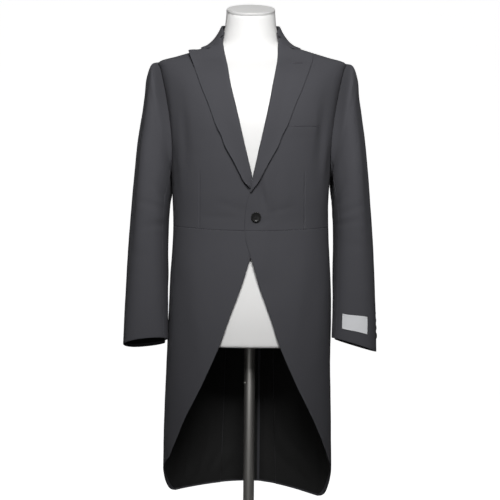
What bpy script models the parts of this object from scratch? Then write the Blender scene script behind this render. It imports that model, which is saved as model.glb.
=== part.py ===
"""A charcoal morning coat on a limbless dress form with a pole and a round base.

The front faces -Y, the wearer's left is +X and the origin is the centre of the base plate's underside.
Sizes are in millimetres and angles in degrees; the meshes are written in metres. An angle goes round the
coat from the centre front, 0, past the side, 90, to the centre back, 180. Each cut piece of cloth is one
closed wall between an outer and an inner grid of points.
"""
import math

import bmesh
import bpy
import numpy as np
from mathutils import Vector

METRES = 0.001

# Cloth and gaps
CLOTH = 2.0
LINING = 1.0
SEAM_GAP = 0.3
LINING_GAP = 0.4
SLEEVE_GAP = 0.9

# Heights above the floor
HEM_Z = 465.0
LINING_TOP_Z = 820.0
WAIST_Z = 1068.0
SHOULDER_Z = 1454.5
NECK_Z = 1498.0
FORM_BOTTOM_Z = 805.0

# The coat's outer surface: a level ring a row. The last column is how far the form lies inside it.
COAT_RINGS = (
    # height, half_width, front, back, squareness, middle, form_clearance
    (420, 197, 128, 152, 2.0, 0, 14),
    (465, 197, 128, 150, 2.0, 0, 14),
    (600, 195, 130, 146, 2.1, 0, 14),
    (750, 191, 132, 140, 2.2, 0, 14),
    (860, 188, 130, 134, 2.2, 0, 10),
    (960, 184, 122, 122, 2.2, 0, 11),
    (1068, 178.5, 114, 108, 2.25, 0, 14),
    (1150, 181, 122, 112, 2.3, 0, 12),
    (1230, 186, 130, 124, 2.3, 1, 9),
    (1310, 192, 132, 132, 2.35, 2, 7),
    (1370, 200, 122, 128, 2.3, 4, 7),
    (1410, 207, 104, 112, 2.2, 6, 6),
    (1436, 212, 82, 92, 2.1, 8, 4.5),
    (1454.5, 214, 62, 74, 2.0, 10, 3.2),
    (1465.6, 178, 55, 68, 2.0, 10.5, 3.1),
    (1477, 140, 52, 64, 2.0, 11, 3.1),
    (1489, 100, 54, 61, 2.0, 12, 3.1),
    (1497, 76, 55, 61, 2.0, 14, 3.4),
    (1510, 70, 54, 60, 2.0, 14, 4),
    (1530, 65, 53, 60, 2.0, 14, 4.5),
    (1545, 62.5, 52.5, 59.5, 2.0, 14, 4),
    (1560, 61, 52, 59, 2.0, 14, 4),
)
NECK_RINGS = (
    # height, half_width, front, back, squareness, middle: the form's neck above the coat
    (1575, 56, 46, 53, 2.0, 14),
    (1600, 55, 45, 52, 2.0, 14),
)
COLLAR_RINGS = (
    # height, half_width, front, back, squareness, middle: the outside of the turned collar leaf
    (1493, 103, 57, 69.5, 2.0, 14),
    (1501, 92, 51, 70, 2.0, 14),
    (1510, 84, 47, 69.5, 2.0, 14),
    (1520, 77, 45, 69, 2.0, 14),
    (1530, 71.5, 45, 68, 2.0, 14),
    (1540, 67.5, 46, 66.5, 2.0, 14),
    (1555, 66, 48, 64.5, 2.0, 14),
    (1570, 65, 48, 64, 2.0, 14),
)

# Seams and edges. A negative x lies past the centre, on the other side.
FRONT_EDGE = {
    # side: height, x: the buttoned edge, then the roll line that the lapel turns over
    1: ((1000, 2), (1044, -10.6), (1075, -13.8), (1099, -13.6), (1125, -10), (1152, -1.8), (1170, 0.5),
        (1192, 5.1), (1232, 13.6), (1260, 19.8), (1293, 27), (1330, 35), (1360, 40.6), (1391, 46), (1436, 54),
        (1466, 59.5), (1500, 63.6), (1512, 66)),
    -1: ((1000, 2), (1044, -10.6), (1075, -13.8), (1099, -13.6), (1125, -10), (1152, -3.4), (1172, -2),
         (1185, -2.2), (1216, 5.3), (1260, 16.2), (1310, 27.8), (1350, 37.5), (1391, 47.5), (1436, 55),
         (1466, 60), (1500, 64), (1512, 66)),
}
CUTAWAY = {
    # side: height, x
    1: ((560, 185), (600, 169.5), (650, 147), (720, 110), (805, 69.5), (870, 46), (940, 20), (1000, 2),
        (1044, -10.6), (1075, -13.8)),
    -1: ((560, 179), (600, 163), (650, 142), (720, 107), (805, 69), (870, 46), (940, 20), (1000, 2),
         (1044, -10.6), (1075, -13.8)),
}
CORNER_TOP_Z = 560.0
HEM_CORNER = {
    # side: height, angle
    1: ((465, 121), (469, 115), (478, 109), (498, 101), (524, 91), (560, 70)),
    -1: ((465, 119), (469, 113), (478, 107), (498, 98), (524, 87), (560, 64)),
}
SIDE_SEAM_ANGLE = 72.0
SHOULDER_ANGLE = 95.4
BACK_SEAM = (
    # height, x: the edge of the tail's pleat below the waist, the back seam above it
    (465, 78), (600, 73), (760, 68.5), (900, 64.5), (1010, 61.5), (1050, 60.5), (1075, 63), (1100, 75),
    (1135, 98), (1170, 118), (1210, 136), (1250, 149),
)
LAPEL_EDGE = (
    # height, x: from the break to the tip of the peak
    (1150, -1), (1157, 3.6), (1177, 18.5), (1215, 38), (1250, 58), (1274, 67), (1297, 79), (1342, 96), (1374, 109.5),
    (1402, 120), (1437, 132), (1455, 138), (1468, 141),
)
GORGE = (
    # height, x, share: from the tip along the peak's top to the notch, then the seam to the neck
    (1468, 141, 0.0), (1475, 127, 0.18), (1482, 113, 0.36), (1480, 96, 0.55), (1489, 83, 0.72),
    (1499, 77, 0.86), (1512, 66, 1.0),
)
NOTCH_SHARE = 0.36
LAPEL_GAP = 1.7
LAPEL_BOTTOM_Z = {1: 1158.0, -1: 1161.0}
LAPELS_APART = 0.5
LAPEL_TOP_Z = 1506.5
LAPEL_BULGE = 2.2
LAPEL_CURL = (
    # along, out: the outer face of the roll, from behind its edge, and the inner face beside it
    (1.8, -1.7, 3.4, -0.6), (0.3, 0.2, 2.2, 0.8), (0.0, 2.8, 2.0, 2.5), (1.2, 5.0, 3.0, 3.5),
    (4.0, 6.1, 4.4, 4.1),
)
CURL_WIDTH = 16.0
CURL_LAG = 14.0
FRONT_EDGE_IN = 4.5
COLLAR_EDGE = (
    # angle, height of the leaf's lower edge
    (56, 1483.5), (90, 1492.5), (130, 1500), (180, 1503),
)
COLLAR_CREST = (
    # angle, height of the fold
    (50, 1507.9), (66, 1522.4), (90, 1536.4), (130, 1545.4), (180, 1549.4),
)
COLLAR_FOLD_HIGH = 2.6
COLLAR_LEAST_ANGLE = 62.0

# Overlaps: the left front lies on the right one, and the tails lie on the skirts and on each other.
FRONT_LIFT = 2.5
TAIL_LIFT = 2.5
PLEAT_UNDERLAP = 10.0
VENT_UNDERLAP = 25.0
VENT_TOP_Z = 1060.0
HEM_SAG = {1: 22.0, -1: 10.0}
SKIRT_NARROWING = {1: 0.035, -1: 0.0}
NARROW_FROM_Z = 940.0
NARROW_OVER = 220.0
WAIST_DIP = 5.5
WAIST_RISE = 2.0
WAIST_DIP_REACH = 90.0
BACK_CENTRE_ANGLE = 179.925

# Soft folds of the cloth
FOLDS = (
    # side, angle, height, half_angle, half_height, depth
    (1, 56, 1300, 6, 80, -2.0),
    (-1, 56, 1300, 6, 80, -2.0),
    (1, 65, 1290, 6, 70, 2.0),
    (-1, 65, 1290, 6, 70, 2.0),
    (1, 150, 620, 9, 150, -3.0),
    (-1, 150, 620, 9, 150, -3.0),
)

# Armhole and sleeves
ARMHOLE_MIDDLE = 1320.8
ARMHOLE_HALF = 133.7
ARMHOLE_FRONT = 54.0
ARMHOLE_BACK = 72.0
ARMHOLE_EGG = 0.3
ARMHOLE_LOW_Y = 5.0
ARMHOLE_HIGH_Y = 17.0
SIDE_SEAM_TURN = 25.0
BACK_SEAM_TURN = 80.0
SLEEVE_SECTIONS = (
    # inner_x, inner_z, outer_x, outer_z, half_depth, middle_y, squareness
    (176, 1180, 232, 1447, 68, 9, 2.2),
    (177.5, 1172, 243, 1415, 72, 9, 2.3),
    (180, 1160, 246.5, 1375, 75, 8, 2.4),
    (182.5, 1145, 252.5, 1330, 77, 6, 2.4),
    (185.5, 1130, 261, 1270, 79, 3, 2.4),
    (187, 1110, 267.5, 1200, 79, 0, 2.4),
    (188.5, 1085, 273, 1130, 77, -3, 2.4),
    (189, 1050, 279, 1050, 73, -6, 2.4),
    (187, 950, 283.5, 950, 65, -14, 2.5),
    (185, 870, 286, 870, 53, -27, 2.5),
    (183, 815, 287.5, 815, 44, -36, 2.5),
)
CUFF_HEM = {
    # side: height, drop at the outer side, drop at the back
    1: (829.0, 31.0, 9.0),
    -1: (828.0, 12.0, 24.0),
}
SLEEVE_FRONT_SEAM = -138.0
SLEEVE_HIND_SEAM = {
    # side: angle at the armhole, elbow and cuff
    1: (100.0, 68.0, 24.0),
    -1: (100.0, 72.0, 38.0),
}
SLEEVE_CLEARANCE = 5.0
ARMPIT_OPEN = {1: 6.0, -1: 0.0}
ARMPIT_Z = 1150.0
ARMPIT_REACH = 90.0
SLEEVE_GROW = 1.4
SLEEVE_ROWS = (0, 0.45, 1, 2, 3, 4, 5, 6, 7, 8, 8.5, 9, 9.5, 10, 10.5, 11)
CUFF_LINING_ROWS = (9.5, 10, 10.5, 10.85)
SLEEVE_SEAM_GAP = 0.4

# Trimmings
BREAST_WELT = {"low_x": 80.0, "high_x": 153.0, "low_z": 1271.0, "high_z": 1295.0, "rise": 4.0, "thick": 1.2}
TRIM_GAP = 0.5
LABEL = {"row": (9.84, 10.42), "turn": (-119.0, -63.0), "slant": 0.1, "thick": 0.8}
FRONT_BUTTON = {"x": 11.0, "z": 1098.0, "radius": 11.0, "thick": 4.0}
CUFF_BUTTON = {"radius": 7.5, "thick": 3.2, "spacing": 17.3, "count": 4, "in_from_seam": 9.0}
CUFF_BUTTON_FROM_HEM = {1: 36.0, -1: 22.0}
HIP_BUTTON = {"inset": 10.5, "z": 1058.0, "radius": 10.0, "thick": 4.0}
BUTTON_GAP = 0.3
BUTTON_EDGE = 0.6
BUTTON_SIDES = 12

# Form and stand
FORM_SIDES = 28
FORM_LOWEST_RING_Z = 750
FORM_ROWS = (805, 812, 860, 910, 960, 1010, 1068, 1110, 1150, 1230, 1280, 1330, 1370, 1400, 1422, 1440)
FORM_BOTTOM_SPREAD = (0.965, 0.96, 1)
NECK_ROWS = (1510, 1525, 1545)
NECK_Y = 14.0
CAP_TILT = 21.0
CAP_Z = 1572.0
CAP_PROFILE = (
    # spread, height above the neck's top
    (0.985, 0.3), (1.0, 2.0), (1.0, 5.0), (0.96, 7.0),
)
POLE_RADIUS = 12.5
POLE_SOCKET = 60.0
BASE_RADIUS = 190.0
BASE_THICK = 8.0
BASE_BEVEL = 2.0
POLE_SIDES = 24
BASE_SIDES = 40


# Curves and rings
def smooth_rows(rows, steps=12):
    """Rows of a table joined by a smooth curve through them all."""
    rows = np.array(rows, float)
    ends = np.concatenate([[2 * rows[0] - rows[1]], rows, [2 * rows[-1] - rows[-2]]])
    smooth = []
    for before, start, end, after in zip(ends, ends[1:], ends[2:], ends[3:]):
        for share in np.arange(steps) / steps:
            bend = 2 * before - 5 * start + 4 * end - after
            twist = 3 * start - before - 3 * end + after
            smooth.append(0.5 * (2 * start + (end - before) * share + bend * share ** 2 + twist * share ** 3))
    smooth.append(rows[-1])
    return np.array(smooth)


def curve(rows):
    """A function of height that follows a table of (height, value)."""
    fine = smooth_rows(rows)
    return lambda z: np.interp(z, fine[:, 0], fine[:, 1])


def grown(rows, distance):
    """The ring table with its surface moved out, along the surface's own slope, by a distance a row."""
    rows = np.array(rows, float)
    slopes = np.gradient(rows[:, 1:4], rows[:, 0], axis=0)
    moved = rows.copy()
    moved[:, 1:4] += np.reshape(distance, (-1, 1)) * np.sqrt(1 + slopes ** 2)
    return moved


def signed_power(value, power):
    return np.sign(value) * np.abs(value) ** power


class Rings:
    """A surface of level rings, each half a superellipse in front of its middle and half behind."""

    def __init__(self, rows):
        self.fine = smooth_rows(rows)

    def ring(self, z):
        return [np.interp(z, self.fine[:, 0], self.fine[:, column]) for column in range(1, 6)]

    def point(self, angle, z):
        half, front, back, squareness, middle = self.ring(z)
        turn = np.radians(angle)
        across = half * signed_power(np.sin(turn), 2 / squareness)
        ahead = np.cos(turn)
        depth = np.where(ahead > 0, front, back)
        return np.stack([across, middle - depth * signed_power(ahead, 2 / squareness), z + 0 * across], axis=-1)

    def angle_at_x(self, x, z, behind=False):
        half, squareness = self.ring(z)[0], self.ring(z)[3]
        share = np.clip(np.abs(x) / half, 0, 1) ** (squareness / 2)
        angle = np.degrees(np.arcsin(share)) * np.where(np.less(x, 0), -1, 1)
        return 180 - angle if behind else angle

    def angle_at_y(self, y, z):
        half, front, back, squareness, middle = self.ring(z)
        ahead = middle - y
        share = np.clip(np.abs(ahead) / np.where(ahead > 0, front, back), 0, 1) ** (squareness / 2)
        return np.degrees(np.arccos(np.sign(ahead) * share))

    def x_at_y(self, y, z):
        half, front, back, squareness, middle = self.ring(z)
        ahead = middle - y
        share = np.clip(np.abs(ahead) / np.where(ahead > 0, front, back), 0, 1)
        return half * (1 - share ** squareness) ** (1 / squareness)


COAT = Rings(COAT_RINGS)
TURNED_COLUMNS = np.array([row[:6] for row in COAT_RINGS if row[0] <= 1489], float)
TURNED = Rings(np.vstack([grown(TURNED_COLUMNS, np.full(len(TURNED_COLUMNS), CLOTH + LAPEL_GAP)), COLLAR_RINGS]))


def falloff(value, reach):
    """1 at nothing, fading smoothly to 0 at the reach."""
    share = np.clip(np.abs(value) / reach, 0, 1)
    return (1 - share ** 2) ** 2


def ramp(value, start, end):
    """0 at the start and before, rising smoothly to 1 at the end and after."""
    share = np.clip((value - start) / (end - start), 0, 1)
    return share * share * (3 - 2 * share)


def settled(side, angle, z):
    """Height after the hem has sagged at the sides and the waist seam has dipped in front."""
    low = np.clip((WAIST_Z - z) / (WAIST_Z - HEM_Z), 0, 1)
    sag = HEM_SAG[side] * low ** 6 * ramp(180 - np.abs(angle), 0, 65)
    dip = WAIST_DIP * np.cos(2 * np.radians(angle)) - WAIST_RISE
    return z - sag - dip * falloff(z - WAIST_Z, WAIST_DIP_REACH)


def folds(side, angle, z):
    """How far the soft folds lift the cloth."""
    lift = 0 * angle * z
    for fold_side, fold_angle, fold_z, half_angle, half_height, depth in FOLDS:
        if fold_side == side:
            lift = lift + depth * falloff(angle - fold_angle, 2 * half_angle) * falloff(z - fold_z, 2 * half_height)
    return lift


def skin(rings, side, angle, z):
    """Points and outward normals of a surface, on one side of the coat."""
    angle, z = np.broadcast_arrays(np.array(angle, float), np.array(z, float))

    def at(angle_step, z_step):
        spot = rings.point(angle + angle_step, settled(side, angle + angle_step, z + z_step))
        spot[..., 0] *= side * (1 - SKIRT_NARROWING[side] * ramp(NARROW_FROM_Z - z - z_step, 0, NARROW_OVER))
        return spot

    round_step = at(0.5, 0) - at(-0.5, 0)
    up_step = at(0, 1) - at(0, -1)
    normals = np.cross(round_step, up_step) * side
    normals /= np.linalg.norm(normals, axis=-1, keepdims=True)
    return at(0, 0), normals


def front_lift(side, x, z):
    """How far the left front lies out, over the right one."""
    if side < 0:
        return 0 * x * z
    return FRONT_LIFT * ramp(60 - x, 0, 32) * ramp(z, 940, 990) * ramp(1240 - z, 0, 60)


def tail_lift(side, angle, x, z):
    """How far a tail lies out, over its skirt, and the left one over the right one."""
    lift = TAIL_LIFT * ramp(1092 - z, 0, 20)
    if side > 0:
        lift = lift * (1 + ramp(40 - x, 0, 12) * ramp(angle, 140, 150))
    return lift


def wall_points(rings, side, angle, z, lift, outside, inside):
    """The outer and inner grids of a wall that lies between two distances from a surface."""
    points, normals = skin(rings, side, angle, z)
    raised = (lift + folds(side, angle, z))[..., None]
    return points + normals * (raised + outside), points + normals * (raised + inside)


def gap_angle(rings, side, angle, z, distance):
    """The turn that moves a point on a surface by a distance round the coat."""
    ahead, _ = skin(rings, side, np.array(angle) + 0.5, z)
    here, _ = skin(rings, side, angle, z)
    return 0.5 * distance / np.linalg.norm(ahead - here, axis=-1)


# Meshes and materials
def material(name, colour, roughness, metallic=0.0):
    paint = bpy.data.materials.new(name)
    paint.use_nodes = True
    shader = paint.node_tree.nodes["Principled BSDF"]
    shader.inputs["Base Color"].default_value = (*colour, 1)
    shader.inputs["Roughness"].default_value = roughness
    shader.inputs["Metallic"].default_value = metallic
    return paint


def add_object(name, bm, paint, smooth_angle=40):
    """The mesh as an object with its faces pointing out."""
    if bm.calc_volume(signed=True) < 0:
        bmesh.ops.reverse_faces(bm, faces=bm.faces)
    mesh = bpy.data.meshes.new(name)
    bm.to_mesh(mesh)
    bm.free()
    mesh.shade_smooth()
    mesh.set_sharp_from_angle(angle=math.radians(smooth_angle))
    piece = bpy.data.objects.new(name, mesh)
    piece.data.materials.append(paint)
    bpy.context.scene.collection.objects.link(piece)
    return piece


def wall(name, paint, outer, inner, tube=False):
    """A closed wall between an outer and an inner grid of points, rows by columns."""
    bm = bmesh.new()
    skins = [[[bm.verts.new(Vector(point) * METRES) for point in row] for row in grid] for grid in (outer, inner)]
    rows, columns = outer.shape[:2]
    cells = columns if tube else columns - 1

    def patch(first, second, way):
        """Faces between two rows of vertices: both ways round split along the same diagonal."""
        for start in range(len(first) - 1):
            corners = (first[start], first[start + 1], second[start + 1], second[start])
            bm.faces.new(corners if way > 0 else [corners[index] for index in (2, 1, 0, 3)])

    for row in range(rows - 1):
        for grid, way in zip(skins, (1, -1)):
            lower = [grid[row][column % columns] for column in range(cells + 1)]
            upper = [grid[row + 1][column % columns] for column in range(cells + 1)]
            patch(lower, upper, way)
    for row, way in ((0, -1), (rows - 1, 1)):
        outside, inside = ([grid[row][column % columns] for column in range(cells + 1)] for grid in skins)
        patch(outside, inside, way)
    if not tube:
        for column, way in ((0, 1), (columns - 1, -1)):
            outside, inside = ([grid[row][column] for row in range(rows)] for grid in skins)
            patch(outside, inside, way)
    return add_object(name, bm, paint)


def circle(sides, radius, height):
    """Points round the Z axis, from the front."""
    way = np.radians(even_turns(sides))
    return np.stack([radius * np.sin(way), -radius * np.cos(way), np.full(sides, float(height))], axis=-1)


def even_turns(sides):
    return np.arange(sides) * 360.0 / sides


def loft(name, paint, rings, smooth_angle=40):
    """A solid through rings of points, closed by a flat face at each end."""
    bm = bmesh.new()
    loops = [[bm.verts.new(Vector(point) * METRES) for point in ring] for ring in rings]
    for lower, upper in zip(loops, loops[1:]):
        for here, after in zip(range(len(lower)), [*range(1, len(lower)), 0]):
            bm.faces.new((lower[here], lower[after], upper[after], upper[here]))
    bm.faces.new(loops[0][::-1])
    bm.faces.new(loops[-1])
    return add_object(name, bm, paint, smooth_angle)


def turned_disc(name, paint, profile, sides, centre, facing):
    """A disc of rings, each (radius, height) along its axis, set at a centre and facing one way."""
    piece = loft(name, paint, [circle(sides, radius, height) for radius, height in profile])
    piece.location = Vector(centre) * METRES
    piece.rotation_euler = Vector(facing).to_track_quat("Z", "Y").to_euler()
    return piece


def button(name, paint, centre, facing, radius, thick):
    """A round button whose back lies a small gap off the cloth at the centre given."""
    seat = np.array(centre) + np.array(facing) * BUTTON_GAP
    profile = (
        (radius - BUTTON_EDGE, 0), (radius, thick * 0.3), (radius, thick * 0.75), (radius - 2 * BUTTON_EDGE, thick))
    return turned_disc(name, paint, profile, BUTTON_SIDES, seat, facing)


# The armhole and the seams as functions of height
def armhole(turn, grow=0.0):
    """Depth and height round the armhole: 0 is its lowest point, 180 its top, positive turns the front."""
    way = np.radians(turn)
    high = (1 - np.cos(way)) / 2
    middle = ARMHOLE_LOW_Y + (ARMHOLE_HIGH_Y - ARMHOLE_LOW_Y) * high
    reach = np.where(np.sin(way) > 0, ARMHOLE_FRONT, ARMHOLE_BACK) + grow
    y = middle - reach * np.sin(way) * (1 + ARMHOLE_EGG * np.cos(way))
    return y, ARMHOLE_MIDDLE - (ARMHOLE_HALF + grow) * np.cos(way)


def armhole_angle(turn):
    y, z = armhole(turn)
    return COAT.angle_at_y(y, z)


SIDE_SEAM_TOP_Z = float(armhole(SIDE_SEAM_TURN)[1])
BACK_SEAM_TOP_Z = float(armhole(-BACK_SEAM_TURN)[1])
FRONT_TURNS = np.linspace(SIDE_SEAM_TURN, 180, 60)
BACK_TURNS = -np.linspace(BACK_SEAM_TURN, 180, 60)
front_edge_x = {side: curve(rows) for side, rows in FRONT_EDGE.items()}
cutaway_x = {side: curve(rows) for side, rows in CUTAWAY.items()}
corner_angle = {side: curve(rows) for side, rows in HEM_CORNER.items()}
lapel_edge_x = curve(LAPEL_EDGE)
back_seam_x = curve(BACK_SEAM + ((BACK_SEAM_TOP_Z, float(COAT.x_at_y(*armhole(-BACK_SEAM_TURN)))),))


def curl_share(side, z):
    """How far the lapel's roll has grown to its full size, up from its break."""
    grown_share = np.clip((lapel_edge_x(z) - front_edge_x[side](z)) / CURL_WIDTH, 0, 1)
    return grown_share * ramp(z, LAPEL_BOTTOM_Z[side] - 8, LAPEL_BOTTOM_Z[side] + 14)


def roll_x(side, z):
    """The roll line. Where the lapels meet, the right one stops at the left one's roll."""
    if side > 0:
        return front_edge_x[1](z)
    return np.maximum(front_edge_x[-1](z), LAPELS_APART - front_edge_x[1](z))


def side_seam(z):
    """Between the forepart and the side body."""
    top = armhole_angle(SIDE_SEAM_TURN)
    return SIDE_SEAM_ANGLE + (top - SIDE_SEAM_ANGLE) * np.clip((z - WAIST_Z) / (SIDE_SEAM_TOP_Z - WAIST_Z), 0, 1)


def back_seam(z):
    """Between the back and the side body, and the pleat edge of the tail below the waist."""
    return COAT.angle_at_x(back_seam_x(z), z, behind=True)


def forepart_side(z):
    in_armhole = np.interp(z, armhole(FRONT_TURNS)[1], armhole_angle(FRONT_TURNS))
    return np.where(z < SIDE_SEAM_TOP_Z, side_seam(z), np.where(z > SHOULDER_Z, SHOULDER_ANGLE, in_armhole))


def back_side(z):
    in_armhole = np.interp(z, armhole(BACK_TURNS)[1], armhole_angle(BACK_TURNS))
    return np.where(z < BACK_SEAM_TOP_Z, back_seam(z), np.where(z > SHOULDER_Z, SHOULDER_ANGLE, in_armhole))


def skirt_front(side, z):
    """The cutaway edge, and the round corner below it."""
    return np.where(z < CORNER_TOP_Z, corner_angle[side](z), COAT.angle_at_x(cutaway_x[side](z), z))


def between(low, high, columns, crowding=1.0):
    """A grid of values from the low one to the high one of each row, crowded towards the low one."""
    share = np.linspace(0, 1, columns) ** crowding
    return low[:, None] + (high - low)[:, None] * share


def side_name(side):
    return "left" if side > 0 else "right"


# Panels of the body
SHOULDER_ROWS = np.array([1454.5, 1463, 1472, 1481, 1490, 1498])
SIDE_BODY_ROWS = 8


def make_forepart(side, paint):
    rows = np.concatenate([
        np.linspace(WAIST_Z, SIDE_SEAM_TOP_Z, SIDE_BODY_ROWS)[:-1],
        armhole(np.linspace(SIDE_SEAM_TURN, 180, 9))[1], SHOULDER_ROWS[1:]])
    edge = front_edge_x[side](rows)
    edge = edge + (roll_x(side, rows) - edge + FRONT_EDGE_IN) * curl_share(side, rows)
    high = forepart_side(rows)
    high = high - gap_angle(COAT, side, high, rows, SEAM_GAP / 2)
    angle = between(COAT.angle_at_x(edge, rows), high, 11)
    z = np.repeat(rows[:, None], 11, axis=1)
    x = COAT.point(angle, z)[..., 0]
    outer, inner = wall_points(COAT, side, angle, z, front_lift(side, x, z), 0, -CLOTH)
    return wall(f"forepart_{side_name(side)}", paint, outer, inner)


def make_side_body(side, paint):
    """The panel whose top edge is the lowest stretch of the armhole."""
    turns = np.linspace(SIDE_SEAM_TURN, -BACK_SEAM_TURN, 60)
    arc_z = armhole(turns)[1]
    arc_angle = armhole_angle(turns)
    share_on_arc = (arc_angle - side_seam(arc_z)) / (back_seam(arc_z) - side_seam(arc_z))
    share = np.linspace(0, 1, 7)
    top = np.interp(share, share_on_arc, arc_z)
    z = WAIST_Z + np.linspace(0, 1, SIDE_BODY_ROWS)[:, None] * (top - WAIST_Z)
    low = side_seam(z) + gap_angle(COAT, side, side_seam(z), z, SEAM_GAP / 2)
    high = back_seam(z) - gap_angle(COAT, side, back_seam(z), z, SEAM_GAP / 2)
    angle = low + (high - low) * share
    outer, inner = wall_points(COAT, side, angle, z, 0, 0, -CLOTH)
    return wall(f"side_body_{side_name(side)}", paint, outer, inner)


BACK_ROWS = np.concatenate([
    [465, 500, 560, 640, 730, 820, 900, 980, 1040, 1058],
    np.linspace(WAIST_Z, BACK_SEAM_TOP_Z, SIDE_BODY_ROWS)[:-1],
    armhole(-np.linspace(BACK_SEAM_TURN, 180, 7))[1], SHOULDER_ROWS[1:]])


def tail_centre(side, z):
    """The angle of a back's centre edge: below the vent the right one runs on under the left one."""
    behind = COAT.angle_at_x(VENT_UNDERLAP, z, behind=True)
    under = (360 - behind) - 180 if side < 0 else 0
    return BACK_CENTRE_ANGLE + under * (z < VENT_TOP_Z)


def back_grid(side):
    low = back_side(BACK_ROWS)
    low = low + gap_angle(COAT, side, low, BACK_ROWS, SEAM_GAP / 2)
    angle = between(low, tail_centre(side, BACK_ROWS), 8, 1.25)
    return angle, np.repeat(BACK_ROWS[:, None], 8, axis=1)


def make_back(side, paint):
    angle, z = back_grid(side)
    x = COAT.point(angle, z)[..., 0]
    outer, inner = wall_points(COAT, side, angle, z, tail_lift(side, angle, x, z), 0, -CLOTH)
    return wall(f"back_{side_name(side)}", paint, outer, inner)


def make_tail_lining(side, paint):
    """Satin inside the tail, between its skirt's underlap and the vent."""
    rows = slice(1, int(np.searchsorted(BACK_ROWS, LINING_TOP_Z)) + 1)
    columns = slice(2, 5 if side > 0 else 7)
    angle, z = (grid[rows, columns] for grid in back_grid(side))
    x = COAT.point(angle, z)[..., 0]
    lift = tail_lift(side, angle, x, z)
    outer, inner = wall_points(COAT, side, angle, z, lift, -CLOTH - LINING_GAP, -CLOTH - LINING_GAP - LINING)
    return wall(f"tail_lining_{side_name(side)}", paint, outer, inner)


SKIRT_ROWS = np.array([465, 468, 474, 484, 500, 524, 560, 610, 680, 750, 820, 900, 980, 1030, 1060, 1067.7])


def skirt_grid(side):
    high = back_seam(SKIRT_ROWS) - gap_angle(COAT, side, back_seam(SKIRT_ROWS), SKIRT_ROWS, SEAM_GAP / 2)
    high = high + gap_angle(COAT, side, high, SKIRT_ROWS, PLEAT_UNDERLAP) * (SKIRT_ROWS < WAIST_Z - 8)
    angle = between(skirt_front(side, SKIRT_ROWS), high, 13, 1.25)
    return angle, np.repeat(SKIRT_ROWS[:, None], 13, axis=1)


def make_skirt(side, paint):
    angle, z = skirt_grid(side)
    x = COAT.point(angle, z)[..., 0]
    outer, inner = wall_points(COAT, side, angle, z, front_lift(side, x, z), 0, -CLOTH)
    return wall(f"skirt_{side_name(side)}", paint, outer, inner)


def make_skirt_lining(side, paint):
    """Satin inside the skirt, a little in from its edges, up to where the form hides it."""
    rows = slice(3, int(np.searchsorted(SKIRT_ROWS, LINING_TOP_Z)) + 1)
    angle, z = (grid[rows, 1:] for grid in skirt_grid(side))
    outer, inner = wall_points(COAT, side, angle, z, 0, -CLOTH - LINING_GAP, -CLOTH - LINING_GAP - LINING)
    return wall(f"skirt_lining_{side_name(side)}", paint, outer, inner)


# Lapels and collar
def make_lapel(side, paint):
    """The turned front from the roll line to the outer edge, with its roll curling back to the forepart."""
    even = np.linspace(0, 1, 15)[:, None]
    share = 0.35 * even + 0.65 * ramp(even, 0, 1)
    bottom = LAPEL_BOTTOM_Z[side]
    roll_z = bottom + (LAPEL_TOP_Z - bottom) * share
    edge_z = bottom + 1 + (GORGE[0][0] - bottom - 1) * share
    turn_x = roll_x(side, roll_z)
    edge_x = lapel_edge_x(edge_z)
    width = np.linspace(0, 1, 8)[1:]
    gorge = np.array(GORGE, float)
    top_z = np.interp(1 - width, gorge[:, 2], gorge[:, 0])
    top_x = np.interp(1 - width, gorge[:, 2], gorge[:, 1])
    flat_x = turn_x + (edge_x - turn_x) * width
    flat_z = roll_z + (edge_z - roll_z) * width
    flat_x = flat_x + (top_x - flat_x[-1]) * share ** 4
    flat_z = flat_z + (top_z - flat_z[-1]) * share ** 4

    def turned(x, z):
        points, normals = skin(TURNED, side, TURNED.angle_at_x(x, z), z)
        lift = front_lift(side, x, z)
        return points + normals * lift[..., None], normals

    points, normals = turned(flat_x, flat_z)
    off_roll = np.abs(flat_x - turn_x)
    bulge = LAPEL_BULGE * falloff(off_roll, 30) * np.minimum(1, (edge_x - turn_x) / 30)
    stand_off = 2.5 * width ** 2 * ramp(0.35 - share, 0, 0.3)
    flat_outer = points + normals * (bulge + stand_off)[..., None]
    flat_inner = flat_outer - normals * CLOTH

    spot, facing = turned(turn_x, roll_z)
    along = np.cross((0, 0, 1.0), facing) * side
    along /= np.linalg.norm(along, axis=-1, keepdims=True)
    level = CLOTH + LAPEL_GAP
    size = np.maximum(curl_share(side, roll_z - CURL_LAG), 0.25)[..., None]
    curl_outer, curl_inner = [], []
    for along_outer, out_outer, along_inner, out_inner in LAPEL_CURL:
        curl_outer.append(spot + along * along_outer * size + facing * (out_outer - level) * size)
        curl_inner.append(spot + along * along_inner * size + facing * ((out_inner - LAPEL_GAP) * size - CLOTH))
    outer = np.concatenate(curl_outer + [flat_outer], axis=1)
    inner = np.concatenate(curl_inner + [flat_inner], axis=1)
    return wall(f"lapel_{side_name(side)}", paint, outer, inner)


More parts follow.
